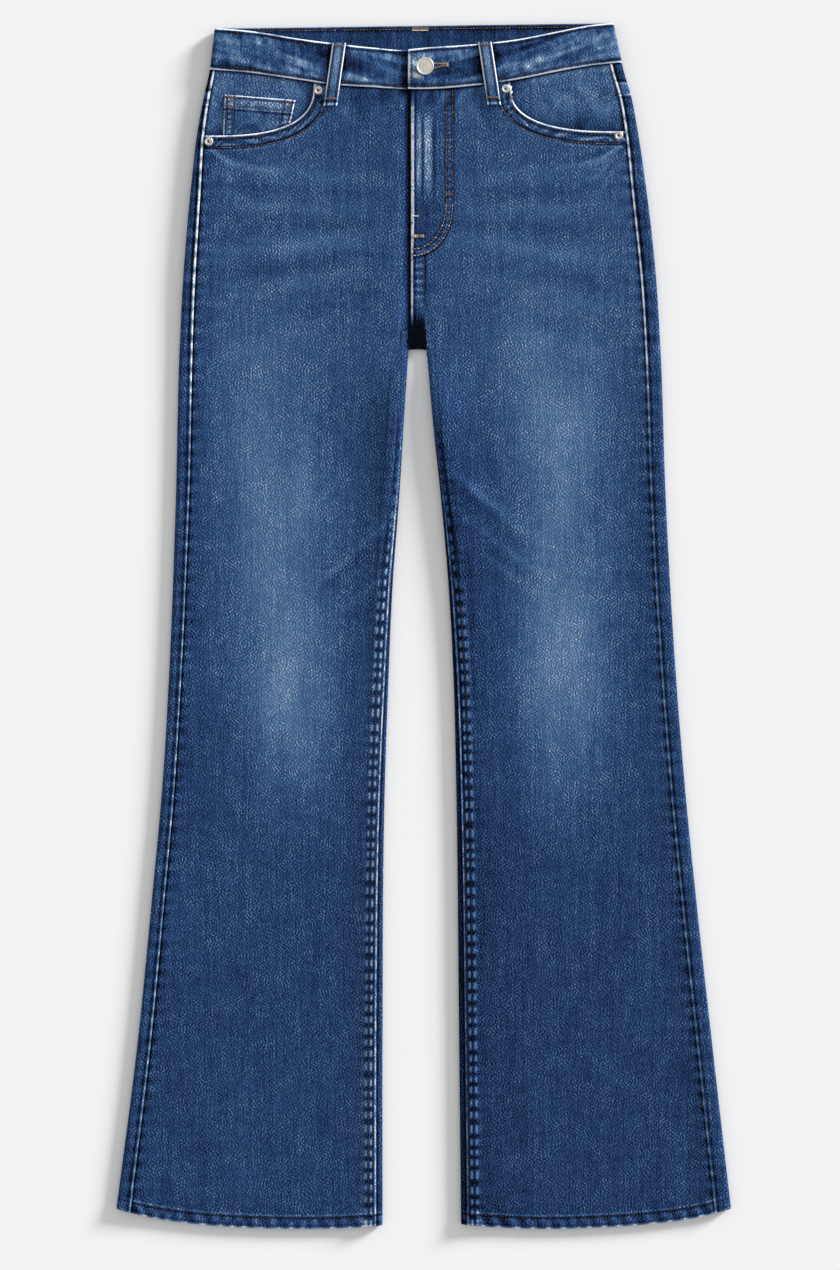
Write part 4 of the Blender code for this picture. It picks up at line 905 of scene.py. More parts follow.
def makeYoke(side):
    # ruled between the waist seam and the yoke seam, wrapped round the side like the back
    way = outward[side]
    centre = jeans["centreBack"] + way * 0.5 * jeans["joint"]
    corner = float(curve(outline, side, 40.0))
    seamAtSide = float(curve(waist, "seam", corner)) + jeans["gap"]
    parts = np.linspace(0, 1, 22)
    sideDown = seamAtSide + (yoke[side] - seamAtSide) * parts
    wrapX, wrapZ, flatCount = outerWrap(side, sideDown)
    share = np.linspace(0, 1, 26)[1:]
    underX = wrapX[:, -1:] + (centre - wrapX[:, -1:]) * share
    x = np.concatenate([wrapX, underX], axis=1)
    z = np.concatenate([wrapZ, np.full_like(underX, jeans["lift"])], axis=1)
    over = np.concatenate([np.ones(flatCount), np.linspace(1, 0, 19), np.zeros(25)])
    top = over * curve(waist, "seam", x) + (1 - over) * (backTop(x) + band["height"]) + jeans["gap"]
    run = np.concatenate([np.zeros(flatCount + 19), share])
    bottom = yoke[side] + (yoke["centre"] - yoke[side]) * run
    down = top + (bottom - top) * parts[:, None]
    toSeam = bottom - down
    z = z + 0.45 * ease(z, 5.0, 8.0) * (1 - ease(toSeam, 6.0, 8.0))
    fromSide = np.abs(x - sideSeam(side, down))
    tone, pale, dark = stripWearAndShade(x, down, fromSide, puckers["side"][1][side])
    pale = pale + 0.42 * bell(toSeam, 9.8, 0.9) + 0.30 * (1 - ease(toSeam, 0.6, 1.6))
    pale = pale + 0.14 * stripe(toSeam, 2.0, 9.0, 1.0)
    pale = pale + 0.30 * bell(fromSide, 4.2, 0.8) * stripe(toSeam, 0.5, 10.0, 0.5)
    # painted shadow under the waistband's edge and painted shadow above the yoke's raised felled seam
    dark = dark + 0.3 * (1 - ease(down - top, 0.5, 2.4)) + 0.55 * bell(toSeam, 12.2, 1.3)
    dark = dark + 0.20 * bell(toSeam, 3.0, 1.0)
    return clothPiece("yoke" + side.title(), joined(x, down, z),
                      {"wearAndShade": joined(tone, pale, dark)}, darkDenim, "denim_dark", ["yoke_" + side],
                      jeans["denim"],
                      turned=side == "left")


# hand pockets

def facingHeight(side, x, down):
    # tucked under the mouth and nearly level with the front away from it
    level = fromMouth(side, x, down)[1]
    rise = ease((1 - level) * pocket[side]["depth"], 1.5, 10.0)
    return topHeight(side, x, down) - (jeans["denim"] + jeans["gap"]) + rise


def makeFacing(side):
    # ruled from the waist seam to a superellipse one margin larger than the mouth's
    way = outward[side]
    cornerX, cornerDown, across, depth = mouthBox(side)
    wide, deep = across + pocket["margin"], depth + pocket["margin"]
    share = pocket["spread"] * (1 - np.linspace(0, 1, 90))
    lowX = cornerX - way * wide * share
    lowDown = cornerDown + deep * (1 - share ** pocket["power"]) ** (1 / pocket["power"])
    topCorner = float(sideSeam(side, float(curve(waist, "seam", cornerX))))
    topX = lowX[0] + (topCorner - lowX[0]) * np.linspace(0, 1, 90)
    topDown = curve(waist, "seam", topX) + 1.6 * jeans["gap"]
    part = np.linspace(0, 1, 44)[:, None]
    x, down = topX + (lowX - topX) * part, topDown + (lowDown - topDown) * part
    x[:, -1] = sideSeam(side, down[:, -1]) - way * 2.0 * jeans["gap"]
    z = facingHeight(side, x, down)
    toSide = (sideSeam(side, down) - x) * way
    toWaist = down - curve(waist, "seam", x)
    mouth = fromMouth(side, x, down)[0]
    z = z + 0.2 * (1 - ease(toWaist, 3.0, 12.0)) * pucker(x, 11.0, 41)
    # darker lower down: painted shade under the front's pocket mouth edge
    tone = 0.53 + 0.05 * softNoise(0.5 * x, down, 10.0, 42) - 0.06 * ease(down, cornerDown + 8, cornerDown + 40)
    pale = 0.10 * stripe(toWaist, 2.0, 6.0, 1.5) * (0.5 + 0.5 * pucker(x, 11.0, 41))
    pale = pale + 0.07 * np.exp(-np.clip(toSide - 2, 0, None) / 4.0)
    # painted shade under the waistband's edge, a dark line at the side seam and painted shadow under the front's
    # pocket mouth edge
    dark = 0.30 * (1 - ease(toWaist, 0.2, 2.0)) + 0.30 * (1 - ease(toSide, 0.3, 2.0))
    dark = dark + 0.20 * ease(mouth, -7.0, 0.0) + 0.07 * ease(mouth, -26.0, -4.0)
    facetShade, valleyShade, crest = crumpleShading(0.6 * x + 20.0, 0.6 * down)
    # painted shading of buckles: lit and shaded facets, painted shade in the valleys and painted highlights on the
    # crests
    tone = tone + 0.13 * facetShade - 0.10 * valleyShade + 0.12 * crest
    wearAndShade = joined(tone, pale, dark)
    return clothPiece("pocketFacing" + side.title(), joined(x, down, z), {"wearAndShade": wearAndShade}, denim,
                      "denim", ["pocket_facing_" + side], jeans["denim"],
                      turned=side == "left")


coin = {"top": ((-118.8, 72.2), (-184.3, 67.0)), "bottom": (-123.8, -186.0), "wall": 1.2, "hem": 10.5}


def coinHeight(x, down):
    # one layer and one gap above the facing
    return facingHeight("right", x, down) + jeans["gap"] + coin["wall"]


def makeCoinPocket():
    # ruled from its slanted top to a line just inside the pocket mouth
    cornerX, cornerDown, across, depth = mouthBox("right")
    share = np.linspace(0, 1, 70)
    (startX, startDown), (endX, endDown) = coin["top"]
    topX, topDown = startX + (endX - startX) * share, startDown + (endDown - startDown) * share
    lowX = coin["bottom"][0] + (coin["bottom"][1] - coin["bottom"][0]) * share
    reach = (cornerX - lowX) / across * outward["right"]
    level = 1 - 0.8 / depth
    lowDown = cornerDown + depth * (level ** pocket["power"] - reach ** pocket["power"]) ** (1 / pocket["power"])
    part = np.linspace(0, 1, 60)[:, None]
    x, down = topX + (lowX - topX) * part, topDown + (lowDown - topDown) * part
    z = coinHeight(x, down)
    toTop = down - topDown
    leftEdge = startX + (coin["bottom"][0] - startX) * part
    rightEdge = endX + (coin["bottom"][1] - endX) * part
    toEdge = np.minimum(leftEdge - x, x - rightEdge)
    z = z + 0.3 * (1 - ease(toTop, coin["hem"], coin["hem"] + 1.2)) * (0.8 + 0.4 * pucker(x, 8.5, 51))
    z = z - 0.5 * (1 - ease(toEdge, 0, 1.0)) - 0.4 * (1 - ease(toTop, 0, 1.0))
    facetShade, valleyShade, crest = crumpleShading(0.8 * x, 0.8 * down)
    # painted shading of buckles: lit and shaded facets, painted shade in the valleys and painted highlights on the
    # crests
    tone = 0.46 + 0.16 * facetShade - 0.12 * valleyShade + 0.14 * crest
    pale = 0.50 * (1 - ease(toEdge, 0.6, 1.4)) + 0.52 * (1 - ease(toTop, 0.6, 1.5))
    pale = pale + 0.16 * stripe(toTop, 3.5, 8.5, 1.0)
    pale = pale + 0.30 * bell(toTop, 11.8, 0.7) + 0.16 * pucker(down, 5.0, 53) * stripe(toEdge, 3.0, 8.0, 1.0)
    dark = 0.34 * bell(toTop, 13.4, 1.0) + 0.30 * bell(toEdge, 9.3, 1.0)
    dark = dark + 0.34 * bell(toEdge, 2.4, 0.8) + 0.30 * bell(toTop, 2.4, 0.8)
    dark = dark + 0.10 * (1 - pucker(down, 5.0, 53)) * stripe(toEdge, 3.0, 8.0, 1.0)
    wearAndShade = joined(tone, pale, dark)
    return clothPiece("coinPocket", joined(x, down, z), {"wearAndShade": wearAndShade}, denim, "denim",
                      ["coin_pocket"], coin["wall"])


# waistband and loops

metalWork = {
    "button": {"at": (1.4, 41.2), "radius": 8.2, "rise": 4.6},
    "rivets": {"right_waist": ("right", -97.6, 62.9), "right_side": ("right", -199.2, 110.4),
               "left_waist": ("left", 76.3, 61.4), "left_side": ("left", 181.2, 104.8)},
    "rivetRadius": 4.0, "rivetRise": 1.5}
loops = {
    "width": 12.5, "wall": 1.5, "bow": 1.4, "backLength": 46.0,
    "right": ((-78.1, 19.5), (-86.5, 78.1)), "left": ((56.7, 18.6), (65.6, 77.2)),
    "back": {"right": -112.0, "centre": -2.8, "left": 104.0}}


def waistEdge(x, over, part):
    # place down the band: part of the way from top to seam, mixed from front and back by over
    top = over * curve(waist, "top", x) + (1 - over) * backTop(x)
    seam = over * curve(waist, "seam", x) + (1 - over) * (backTop(x) + band["height"])
    return top + (seam - top) * part


def bandRelief(along, fromTop, fromSeam):
    # puckers pulled by the stitch rows, soft diagonal buckles, and rolled edges
    wave = 0.45 * pucker(along + 0.6 * fromTop, 16.0, 61) * stripe(fromSeam, 3.0, 20.0, 4.0)
    wave = wave + 0.35 * pucker(along - 0.4 * fromTop, 9.0, 62) * stripe(fromTop, 3.0, 14.0, 3.0)
    edge = 0.7 * (1 - ease(fromTop, 0.0, 1.8)) + 0.7 * (1 - ease(fromSeam, 0.0, 1.8))
    return wave - edge - 0.25 * bell(fromTop, 3.4, 0.8) - 0.25 * bell(fromSeam, 3.2, 0.8)


def crumpleShading(x, down):
    # buckled cloth painted as light and shade: broad lit and shaded facets, and thin painted shade and painted
    # highlight lines where leaning noises cross zero
    falling = softNoise(0.8 * x - 0.6 * down, 0.35 * (0.6 * x + 0.8 * down), 6.5, 63)
    rising = softNoise(0.8 * x + 0.6 * down, 0.35 * (0.8 * down - 0.6 * x), 7.5, 64)
    level = softNoise(0.25 * x, down + 0.12 * x, 5.5, 66)
    facetShade = 0.5 * falling + 0.5 * rising + 0.5 * level
    valleyShade = (1 - ease(np.abs(falling), 0.0, 0.24)) * ease(level, -0.5, 0.3)
    crest = (1 - ease(np.abs(rising - 0.1), 0.0, 0.22)) * ease(-level, -0.5, 0.3)
    return facetShade, valleyShade, crest


bandTones = {  # across the front of the waistband: mean tone of the wash
    "x": (-199, -150, -100, -60, -20, 10, 45, 80, 120, 187),
    "tone": (0.46, 0.46, 0.44, 0.37, 0.40, 0.42, 0.37, 0.46, 0.48, 0.50)}


def bandToneAndShade(x, down, fromTop):
    # streaks that fan down towards the middle, short upright hatching, painted shading of buckles with painted shade
    # lines along creases, painted shadow beside the loops, and paler cloth round the button and by the tab's end
    fan = fromTop + 0.17 * np.abs(x)
    streak = softNoise(0.12 * np.abs(x) + 9.0 * (x > 0), fan, 3.6, 68)
    broad = softNoise(0.10 * np.abs(x) + 5.0 * (x > 0), fan, 8.0, 69)
    facetShade, valleyShade, crest = crumpleShading(x, down)
    hatch = softNoise(x, 0.22 * down, 2.2, 70)
    tone = curve(bandTones, "tone", x) + 0.03 * ease(fromTop, 8.0, 28.0)
    sharp = np.sign(streak) * np.abs(streak) ** 0.7
    line = (1 - ease(np.abs(broad - 0.05), 0.0, 0.10)) * ease(facetShade, -0.5, 0.5)
    tone = tone + 0.16 * sharp + 0.19 * broad + 0.10 * facetShade - 0.12 * valleyShade + 0.14 * crest
    tone = tone + 0.09 * hatch - 0.18 * line
    # painted shadow beside each belt loop
    for side in ("right", "left"):
        (topX, topDown), (lowX, lowDown) = loops[side]
        away = np.abs(x - topX - (lowX - topX) * (down - topDown) / (lowDown - topDown)) - 0.5 * loops["width"]
        away = np.clip(away, 0, None)
        tone = tone - 0.28 * np.exp(-(away / 5.0) ** 1.5) - 0.25 * np.exp(-(away / 1.8) ** 2)
    beside = np.hypot(x - metalWork["button"]["at"][0], down - metalWork["button"]["at"][1])
    tone = tone + 0.20 * bell(beside, 11.0, 3.4) * (1 - ease(x, 0.0, 12.0)) * (x > band["tabEnd"])
    return tone + 0.13 * bell(np.hypot(x + 7.0, 0.7 * (down - 54.5)), 0.0, 5.0)


def bandHeight(x, down):
    # outer face of the front of the waistband; under the tab's end it dips
    under = np.where(x < band["tabEnd"], ease(x, band["tabEnd"] - 34.0, band["tabEnd"] - 3.0), 0.0)
    relief = bandRelief(x, down - curve(waist, "top", x), curve(waist, "seam", x) - down)
    return band["top"] - band["dip"] * under + relief


def makeWaistband():
    # one strip from the tab's end round the back to the end under the tab
    parts = np.concatenate([np.linspace(0, 0.16, 8)[:-1], np.linspace(0.16, 0.84, 18)[:-1], np.linspace(0.84, 1, 8)])
    rows, fields = [], []
    for part in parts:
        leftEdge = float(curve(outline, "left", 37.0 * part))
        rightEdge = float(curve(outline, "right", 5.0 + 38.0 * part))
        back, share = foldTurn(20)
        middle, half = 0.5 * (band["top"] + jeans["lift"]), 0.5 * (band["top"] - jeans["lift"])
        foldZ = middle + half * share
        leftX, rightX = leftEdge + back, (rightEdge - back)[::-1]
        tabX = band["tabEnd"] + (leftX[0] - band["tabEnd"]) * np.linspace(0, 1, 190)[:-1]
        backX = leftX[-1] + (rightX[0] - leftX[-1]) * np.linspace(0, 1, 90)[1:-1]
        underX = rightX[-1] + (band["underEnd"] - rightX[-1]) * np.linspace(0, 1, 200)[1:]
        underZ = band["top"] - band["dip"] * ease(underX, band["tabEnd"] - 34.0, band["tabEnd"] - 3.0)
        x = np.concatenate([tabX, leftX, backX, rightX, underX])
        z = np.concatenate([np.full_like(tabX, band["top"]), foldZ, np.full_like(backX, jeans["lift"]),
                            foldZ[::-1], underZ])
        over = np.concatenate([np.ones_like(tabX), np.linspace(1, 0, 20), np.zeros_like(backX),
                               np.linspace(0, 1, 20), np.ones_like(underX)])
        down = waistEdge(x, over, part)
        fromTop, fromSeam = down - waistEdge(x, over, 0.0), waistEdge(x, over, 1.0) - down
        front = over > 0.5
        z = z + np.where(front, bandRelief(x, fromTop, fromSeam), 0.0)
        fromTab = np.where(np.arange(len(x)) < len(tabX), x - band["tabEnd"], nowhere)
        z = z - 0.6 * (1 - ease(fromTab, 0.0, 1.8))
        tone = bandToneAndShade(x, down, fromTop)
        inside = 0.30 + 0.10 * softNoise(x, 0.15 * down, 3.0, 67) + 0.06 * softNoise(0.3 * x, down, 5.0, 66)
        tone = np.where(front, tone, inside)
        low = stripe(fromSeam, 5.0, 14.0, 3.0)
        pale = front * (0.66 * (1 - ease(fromTop, 0.8, 1.5)) + 0.66 * (1 - ease(fromSeam, 0.9, 1.7)))
        pale = pale + front * 0.58 * (1 - ease(fromTab, 1.4, 2.6)) + (1 - front) * 0.3 * (1 - ease(fromTop, 0.6, 1.6))
        pale = pale + front * 0.12 * low * (0.4 + softNoise(x, down, 8.0, 65))
        dark = front * (0.38 * bell(fromTop, 3.0, 1.0) + 0.38 * bell(fromSeam, 3.2, 1.0))
        dark = dark + 0.3 * (1 - front) * bell(fromTop, 3.0, 2.0)
        isUnder = np.arange(len(x)) >= len(x) - len(underX)
        # painted shadow of the tab's end on the band beneath it
        dark = dark + isUnder * 0.46 * np.exp(-(np.clip(band["tabEnd"] - x, 0, None) / 6.0) ** 1.5)
        pale = np.where(isUnder & (x > band["tabEnd"] - 1.0), 0.0, pale)
        rows.append(joined(x, down, z))
        fields.append(joined(tone, pale, dark))
    return clothPiece("waistbandCloth", np.array(rows), {"wearAndShade": np.array(fields)}, bandDenim, "denim", ["waistband"],
                      band["wall"], turned=True)


def loopWear(across, along, length):
    # pale worn edges, dark lines under the two stitch rows and a washed middle
    toEdge = 0.5 * loops["width"] - np.abs(across)
    tone = 0.69 + 0.05 * softNoise(across * 0.8, along, 6.0, 71) - 0.14 * ease(along, 0.6 * length, 0.85 * length)
    pale = 0.36 * (1 - ease(toEdge, 0.8, 1.5)) + 0.35 * stripe(length - along, 0.8, 3.0, 0.8)
    dark = 0.56 * bell(toEdge, 2.3, 0.9) + 0.34 * bell(length - along, 4.6, 1.0)
    dark = dark + 0.2 * (1 - ease(length - along, 0.2, 1.0))
    return joined(tone, pale, dark)


def loopSurface(side, part, across):
    # strip that bows off the waistband and comes down to the front below its seam
    (topX, topDown), (lowX, lowDown) = loops[side]
    x = topX + (lowX - topX) * part + across
    down = topDown + (lowDown - topDown) * part + 0.0 * across
    onBand = band["top"] + jeans["gap"] + loops["wall"]
    seat = topHeight(side, x, down) + jeans["gap"] + loops["wall"] + 0.5
    past = ease(down - curve(waist, "seam", x), 1.5, 10.0)
    bow = loops["bow"] * np.sin(np.pi * np.clip(part / 0.72, 0, 1)) ** 0.8
    z = onBand + (seat - onBand) * past + bow
    toEdge = 0.5 * loops["width"] - np.abs(across)
    length = lowDown - topDown
    along = part * length + 0.0 * across
    z = z - 0.5 * (1 - ease(toEdge, 0, 1.2)) - 0.2 * bell(toEdge, 2.4, 0.7)
    z = z + 0.9 * stripe(length - along, 0.8, 5.0, 0.7) - 0.2 * bell(length - along, 3.2, 0.6)
    z = z + 0.4 * (1 - ease(along, 2.0, 3.4))
    return x, down, z, along, length


def makeFrontLoop(side):
    # the loop's bowed strip as a grid, 15 points wide
    across = np.linspace(-0.5, 0.5, 15)[None, :] * loops["width"]
    x, down, z, along, length = loopSurface(side, np.linspace(0, 1, 60)[:, None], across)
    return clothPiece("beltLoopFront" + side.title(), joined(x, down, z),
                      {"wearAndShade": loopWear(across + 0.0 * along, along, length)}, bandDenim, "denim",
                      ["belt_loop_front_" + side], loops["wall"],
                      turned=True)


def makeBackLoop(place):
    # a pressed flat strip under the garment; its wear shows only from below
    x0 = loops["back"][place]
    top = float(backTop(x0)) + 2.0
    part = np.linspace(0, 1, 24)[:, None]
    across = np.linspace(-0.5, 0.5, 11)[None, :] * loops["width"]
    x, down = x0 + across + 0.0 * part, top + loops["backLength"] * part + 0.0 * across
    length = loops["backLength"]
    wearAndShade = loopWear(across + 0.0 * part, part * length + 0.0 * across, length)
    return clothPiece("beltLoopBack" + place.title(), joined(x, down, 0.0 * x), {"wearAndShade": wearAndShade},
                      bandDenim, "denim", ["belt_loop_back_" + place], loops["wall"])


backPocket = {
    "wall": 1.5, "span": 118.0,
    "corners": ((44.0, 116.0), (168.0, 106.0), (176.0, 224.0), (116.0, 250.0), (58.0, 232.0))}


def makeBackPocket(side):
    # patch pocket: each row runs between the two sides of its five-cornered outline
    way = outward[side]
    c = backPocket["corners"]
    u = np.linspace(0, 1, 64)[None, :]
    v = np.linspace(0, 1, 60)[:, None]
    topX, topDown = c[0][0] + (c[1][0] - c[0][0]) * u, c[0][1] + (c[1][1] - c[0][1]) * u
    lowX = c[4][0] + (c[2][0] - c[4][0]) * u
    lowDown = np.interp(lowX, [c[4][0], c[3][0], c[2][0]], [c[4][1], c[3][1], c[2][1]])
    out, down = topX + (lowX - topX) * v, topDown + (lowDown - topDown) * v
    x = jeans["centreBack"] + way * out
    toEdge = np.minimum(np.minimum(u, 1 - u) * backPocket["span"], (1 - v) * backPocket["span"])
    toTop = v * backPocket["span"] + 0.0 * u
    tone = 0.44 + 0.04 * softNoise(x, down, 20.0, 81)
    pale = 0.25 * (1 - ease(toEdge, 0.8, 2.2)) + 0.3 * (1 - ease(toTop, 0.8, 2.2))
    dark = 0.14 * bell(toEdge, 3.0, 0.9) + 0.14 * bell(toEdge, 9.0, 0.9) + 0.14 * bell(toTop, 12.0, 1.0)
    wearAndShade = joined(tone, pale, dark)
    return clothPiece("backPocket" + side.title(), joined(x, down, 0.0 * x), {"wearAndShade": wearAndShade}, darkDenim,
                      "denim", ["back_pocket_" + side], backPocket["wall"],
                      turned=side == "right")


for side in ("right", "left"):
    makeFront(side)
    makeBack(side)
    makeYoke(side)
    makeFacing(side)
    makeFrontLoop(side)
    makeBackPocket(side)
makeCoinPocket()
makeWaistband()
for place in loops["back"]:
    makeBackLoop(place)

# sewing

capsule = {"along": (-1.0, -0.7, 0.7, 1.0), "girth": (0.6, 1.0, 1.0, 0.6), "sides": 5}


def seamRow(x, down, z, pitch, tint, seed, radius=0.31, share=0.66, lift=0.12):
    # stitches along a path: their two ends lie on it, one pitch after the other
    run = np.concatenate([[0], np.cumsum(np.hypot(np.diff(x), np.diff(down)))])
    middle = (np.arange(int(run[-1] / pitch)) + 0.5) * pitch
    ends = [np.stack([np.interp(middle + way * 0.5 * share * pitch, run, values) for values in (x, down, z + lift)],
                     axis=-1) for way in (-1.0, 1.0)]
    shade = tint + np.random.default_rng(seed).normal(0.0, 0.10, len(middle))
    return ends[0], ends[1], np.full(len(middle), radius), shade


def bartack(x, down, z, width, tint, seed, step=0.42, radius=0.24):
    # dense zigzag along a short path
    run = np.concatenate([[0], np.cumsum(np.hypot(np.diff(x), np.diff(down)))])
    place = np.arange(0.0, run[-1], step)
    side = np.where(np.arange(len(place)) % 2 == 0, 0.5, -0.5) * width
    ahead = np.array([x[-1] - x[0], down[-1] - down[0]]) / np.hypot(x[-1] - x[0], down[-1] - down[0])
    points = np.stack([np.interp(place, run, x) - ahead[1] * side, np.interp(place, run, down) + ahead[0] * side,
                       np.interp(place, run, z) + 0.3], axis=-1)
    shade = tint + np.random.default_rng(seed).normal(0.0, 0.10, len(points) - 1)
    return points[:-1], points[1:], np.full(len(points) - 1, radius), shade


def makeStitches(name, runs):
    # one mesh of short capsules: rings of five corners between two tips, arched off the cloth
    start, end, radius, tint = (np.concatenate(parts) for parts in zip(*runs))
    count, sides = len(start), capsule["sides"]
    ahead = end - start
    length = np.linalg.norm(ahead, axis=1, keepdims=True)
    ahead = ahead / length
    beside = np.stack([-ahead[:, 1], ahead[:, 0], 0.0 * ahead[:, 0]], axis=-1)
    beside = beside / np.linalg.norm(beside, axis=1, keepdims=True)
    above = np.cross(ahead, beside)
    along, girth = np.array(capsule["along"]), np.array(capsule["girth"])
    turn = np.linspace(0, 2 * math.pi, sides, endpoint=False)
    axis = 0.5 * (start + end)[:, None, :] + ahead[:, None, :] * (0.5 * length * along)[:, :, None]
    axis[..., 2] += 0.4 * radius[:, None] * (1 - along ** 2)
    out = np.cos(turn)[:, None] * beside[:, None, None, :] + np.sin(turn)[:, None] * above[:, None, None, :]
    rings = axis[:, :, None, :] + out * (radius[:, None] * girth)[:, :, None, None]
    tips = 0.5 * (start + end)[:, None, :] + ahead[:, None, :] * ((0.5 * length + 0.5 * radius[:, None]) * np.array(
        [-1.0, 1.0]))[:, :, None]
    corners = np.concatenate([rings.reshape(count, -1, 3), tips], axis=1)
    ring = np.arange(len(along) * sides).reshape(len(along), sides)
    nextRing = np.roll(ring, -1, axis=1)
    quads = np.stack([ring[:-1], ring[1:], nextRing[1:], nextRing[:-1]], axis=-1).reshape(-1, 4)
    low, high = len(along) * sides, len(along) * sides + 1
    caps = np.concatenate([np.stack([np.full(sides, low), ring[0], nextRing[0]], axis=-1),
                           np.stack([np.full(sides, high), nextRing[-1], ring[-1]], axis=-1)])
    base = (np.arange(count) * corners.shape[1])[:, None, None]
    faces = (quads + base).reshape(-1, 4).tolist() + (caps + base).reshape(-1, 3).tolist()
    shades = np.repeat(np.clip(tint, 0.0, 1.0), corners.shape[1])
    thing = addMesh(name, corners.reshape(-1, 3), faces, {"tint": shades})
    print(name, "made:", count, "stitches")
    return finishPiece(thing, thread, "thread")


def onFront(side, x, down, *row):
    return seamRow(x, down, frontHeight(side, x, down), *row)


def sewFront(side):
    way = outward[side]
    runs = []
    for grow, tint in ((3.2, 0.4), (11.4, 0.66)):
        x, down = mouthCurve(side, 300, grow)
        keep = (down > curve(waist, "seam", x) + 1.5) & ((sideSeam(side, down) - x) * way > 1.5)
        runs.append(onFront(side, x[keep], down[keep], 2.9, tint, 101))
    for inset, tint, first in ((1.7, 0.2, 470.0), (6.5, 0.24, 540.0)):
        down = np.arange(first, 1100.0, 1.0)
        x = curve(inner, side, down) + way * (curve(inseamLine, "inset", down) + inset)
        keep = (x - curve(inner, side, down)) * way > jeans["inseamInset"] + 0.5
        runs.append(onFront(side, x[keep], down[keep], 3.4, tint, 102))
    part = np.linspace(0, 1, 200)
    hemInner, hemOuter = curve(inner, side, 1109.0) + way * 8.0, sideSeam(side, 1103.0) - way * 2.0
    x = hemInner + (hemOuter - hemInner) * part
    runs.append(onFront(side, x, hemDown(side, x) - 10.2, 3.2, 0.3, 103))
    if side == "left":
        turn = np.linspace(0, 0.5 * math.pi, 120)
        for grow in (0.0, fly["secondRow"]):
            bendX = jeans["flyEdge"] + (fly["width"] + grow) * np.cos(turn) ** (2 / fly["power"])
            bendDown = fly["turnDown"] + (fly["depth"] + grow) * np.sin(turn) ** (2 / fly["power"])
            straight = np.linspace(curve(waist, "seam", bendX[0]) + 2.0, fly["turnDown"] + 1.5, 60)
            keep = bendX > jeans["flyEdge"] + 1.5
            runs.append(onFront(side, 0.0 * straight + bendX[0], straight, 3.2, 0.62, 104))
            runs.append(onFront(side, bendX[keep], bendDown[keep], 3.2, 0.86, 104))
        for x0, x1, down, width, tint in ((-11.2, 0.9, 198.0, 3.0, 0.84), (20.4, 27.6, 159.5, 1.3, 0.6),
                                          (-10.8, -4.2, 179.4, 1.1, 1.0)):
            x = np.linspace(x0, x1, 20)
            runs.append(bartack(x, 0.0 * x + down, frontHeight(side, x, 0.0 * x + down), width, tint, 105))
        down = np.arange(218.0, 266.0, 1.0)
        runs.append(onFront(side, 0.0 * down + 0.2, down, 3.0, 0.30, 106))
    makeStitches("sewingFront" + side.title(), runs)


def sewWaist():
    runs = []
    for first, last in ((-189.0, band["tabEnd"] - 1.5), (band["tabEnd"] + 3.4, 171.0)):
        x = np.linspace(first, last, 240)
        for inset, edge, tint in ((3.2, "top", 0.3), (-3.3, "seam", 0.5)):
            down = curve(waist, edge, x) + inset
            runs.append(seamRow(x, down, bandHeight(x, down), 3.0, tint, 111))
    x0 = band["tabEnd"] + 3.2
    down = np.linspace(curve(waist, "top", x0) + 4.0, curve(waist, "seam", x0) - 4.0, 40)
    runs.append(seamRow(0.0 * down + x0, down, bandHeight(0.0 * down + x0, down), 3.0, 0.3, 112))
    x = np.linspace(-186.0, 168.0, 300)
    inside = jeans["lift"] + band["wall"]
    runs.append(seamRow(x, backTop(x) + 3.0, 0.0 * x + inside, 3.0, 0.68, 113))
    for down, tint, width in ((4.6, 0.72, 1.8), (6.6, 1.0, 1.2)):
        x = np.linspace(-10.6, 4.2, 20)
        runs.append(bartack(x, 0.0 * x + down, 0.0 * x + inside, width, tint, 114))
    # buttonhole: two dense edges that close on a short bar
    for away, tint in ((-2.3, 0.82), (2.3, 0.76)):
        x = np.linspace(9.2, 21.4, 30)
        down = 40.6 - 0.12 * (x - 9.2) + away * (1 - 0.62 * ease(x, 9.0, 19.0))
        runs.append(bartack(x, down, bandHeight(x, down), 1.3, tint, 115, 0.34))
    down = np.linspace(37.2, 41.2, 20)
    runs.append(bartack(0.0 * down + 22.2, down, bandHeight(0.0 * down + 22.2, down), 1.8, 0.84, 116, 0.36))
    makeStitches("sewingWaistband", runs)


def sewLoops():
    runs = []
    for side in ("right", "left"):
        for across in (-3.8, 3.8):
            x, down, z = loopSurface(side, np.linspace(0.02, 0.9, 60), across + np.zeros(60))[:3]
            runs.append(seamRow(x, down, z, 2.9, 0.5, 121, 0.28, 0.55))
        for part in (0.045, 0.875):
            x, down, z = loopSurface(side, part + np.zeros(20), np.linspace(-4.8, 4.8, 20))[:3]
            runs.append(bartack(x, down, z, 2.0, 0.66, 122))
    makeStitches("sewingLoops", runs)


def sewCoinPocket():
    runs = []
    (startX, startDown), (endX, endDown) = coin["top"]
    part = np.linspace(0.03, 0.97, 60)
    for inset, tint in ((2.4, 0.5), (10.0, 0.55)):
        x = startX + (endX - startX) * part
        down = startDown + (endDown - startDown) * part + inset
        runs.append(seamRow(x, down, coinHeight(x, down), 2.8, tint, 131, 0.3))
    for inset, tint in ((2.4, 0.45), (8.8, 0.5)):
        for edge, low, sign in ((startX, coin["bottom"][0], -1.0), (endX, coin["bottom"][1], 1.0)):
            top = startDown if sign < 0 else endDown
            down = np.linspace(top + 2.5, (94.0 if sign < 0 else 104.0) - 0.3 * inset, 40)
            x = edge + (low - edge) * (down - top) / 37.0 + sign * inset
            runs.append(seamRow(x, down, coinHeight(x, down), 2.8, tint, 132, 0.3))
    for x0, x1, down in ((-183.0, -173.5, 69.0), (-183.0, -173.5, 77.2), (-129.0, -120.6, 73.4)):
        x = np.linspace(x0, x1, 16)
        runs.append(bartack(x, 0.0 * x + down, coinHeight(x, 0.0 * x + down), 1.9, 0.64, 133))
    makeStitches("sewingCoinPocket", runs)


for side in ("right", "left"):
    sewFront(side)
sewWaist()
sewLoops()
sewCoinPocket()

# button and rivets

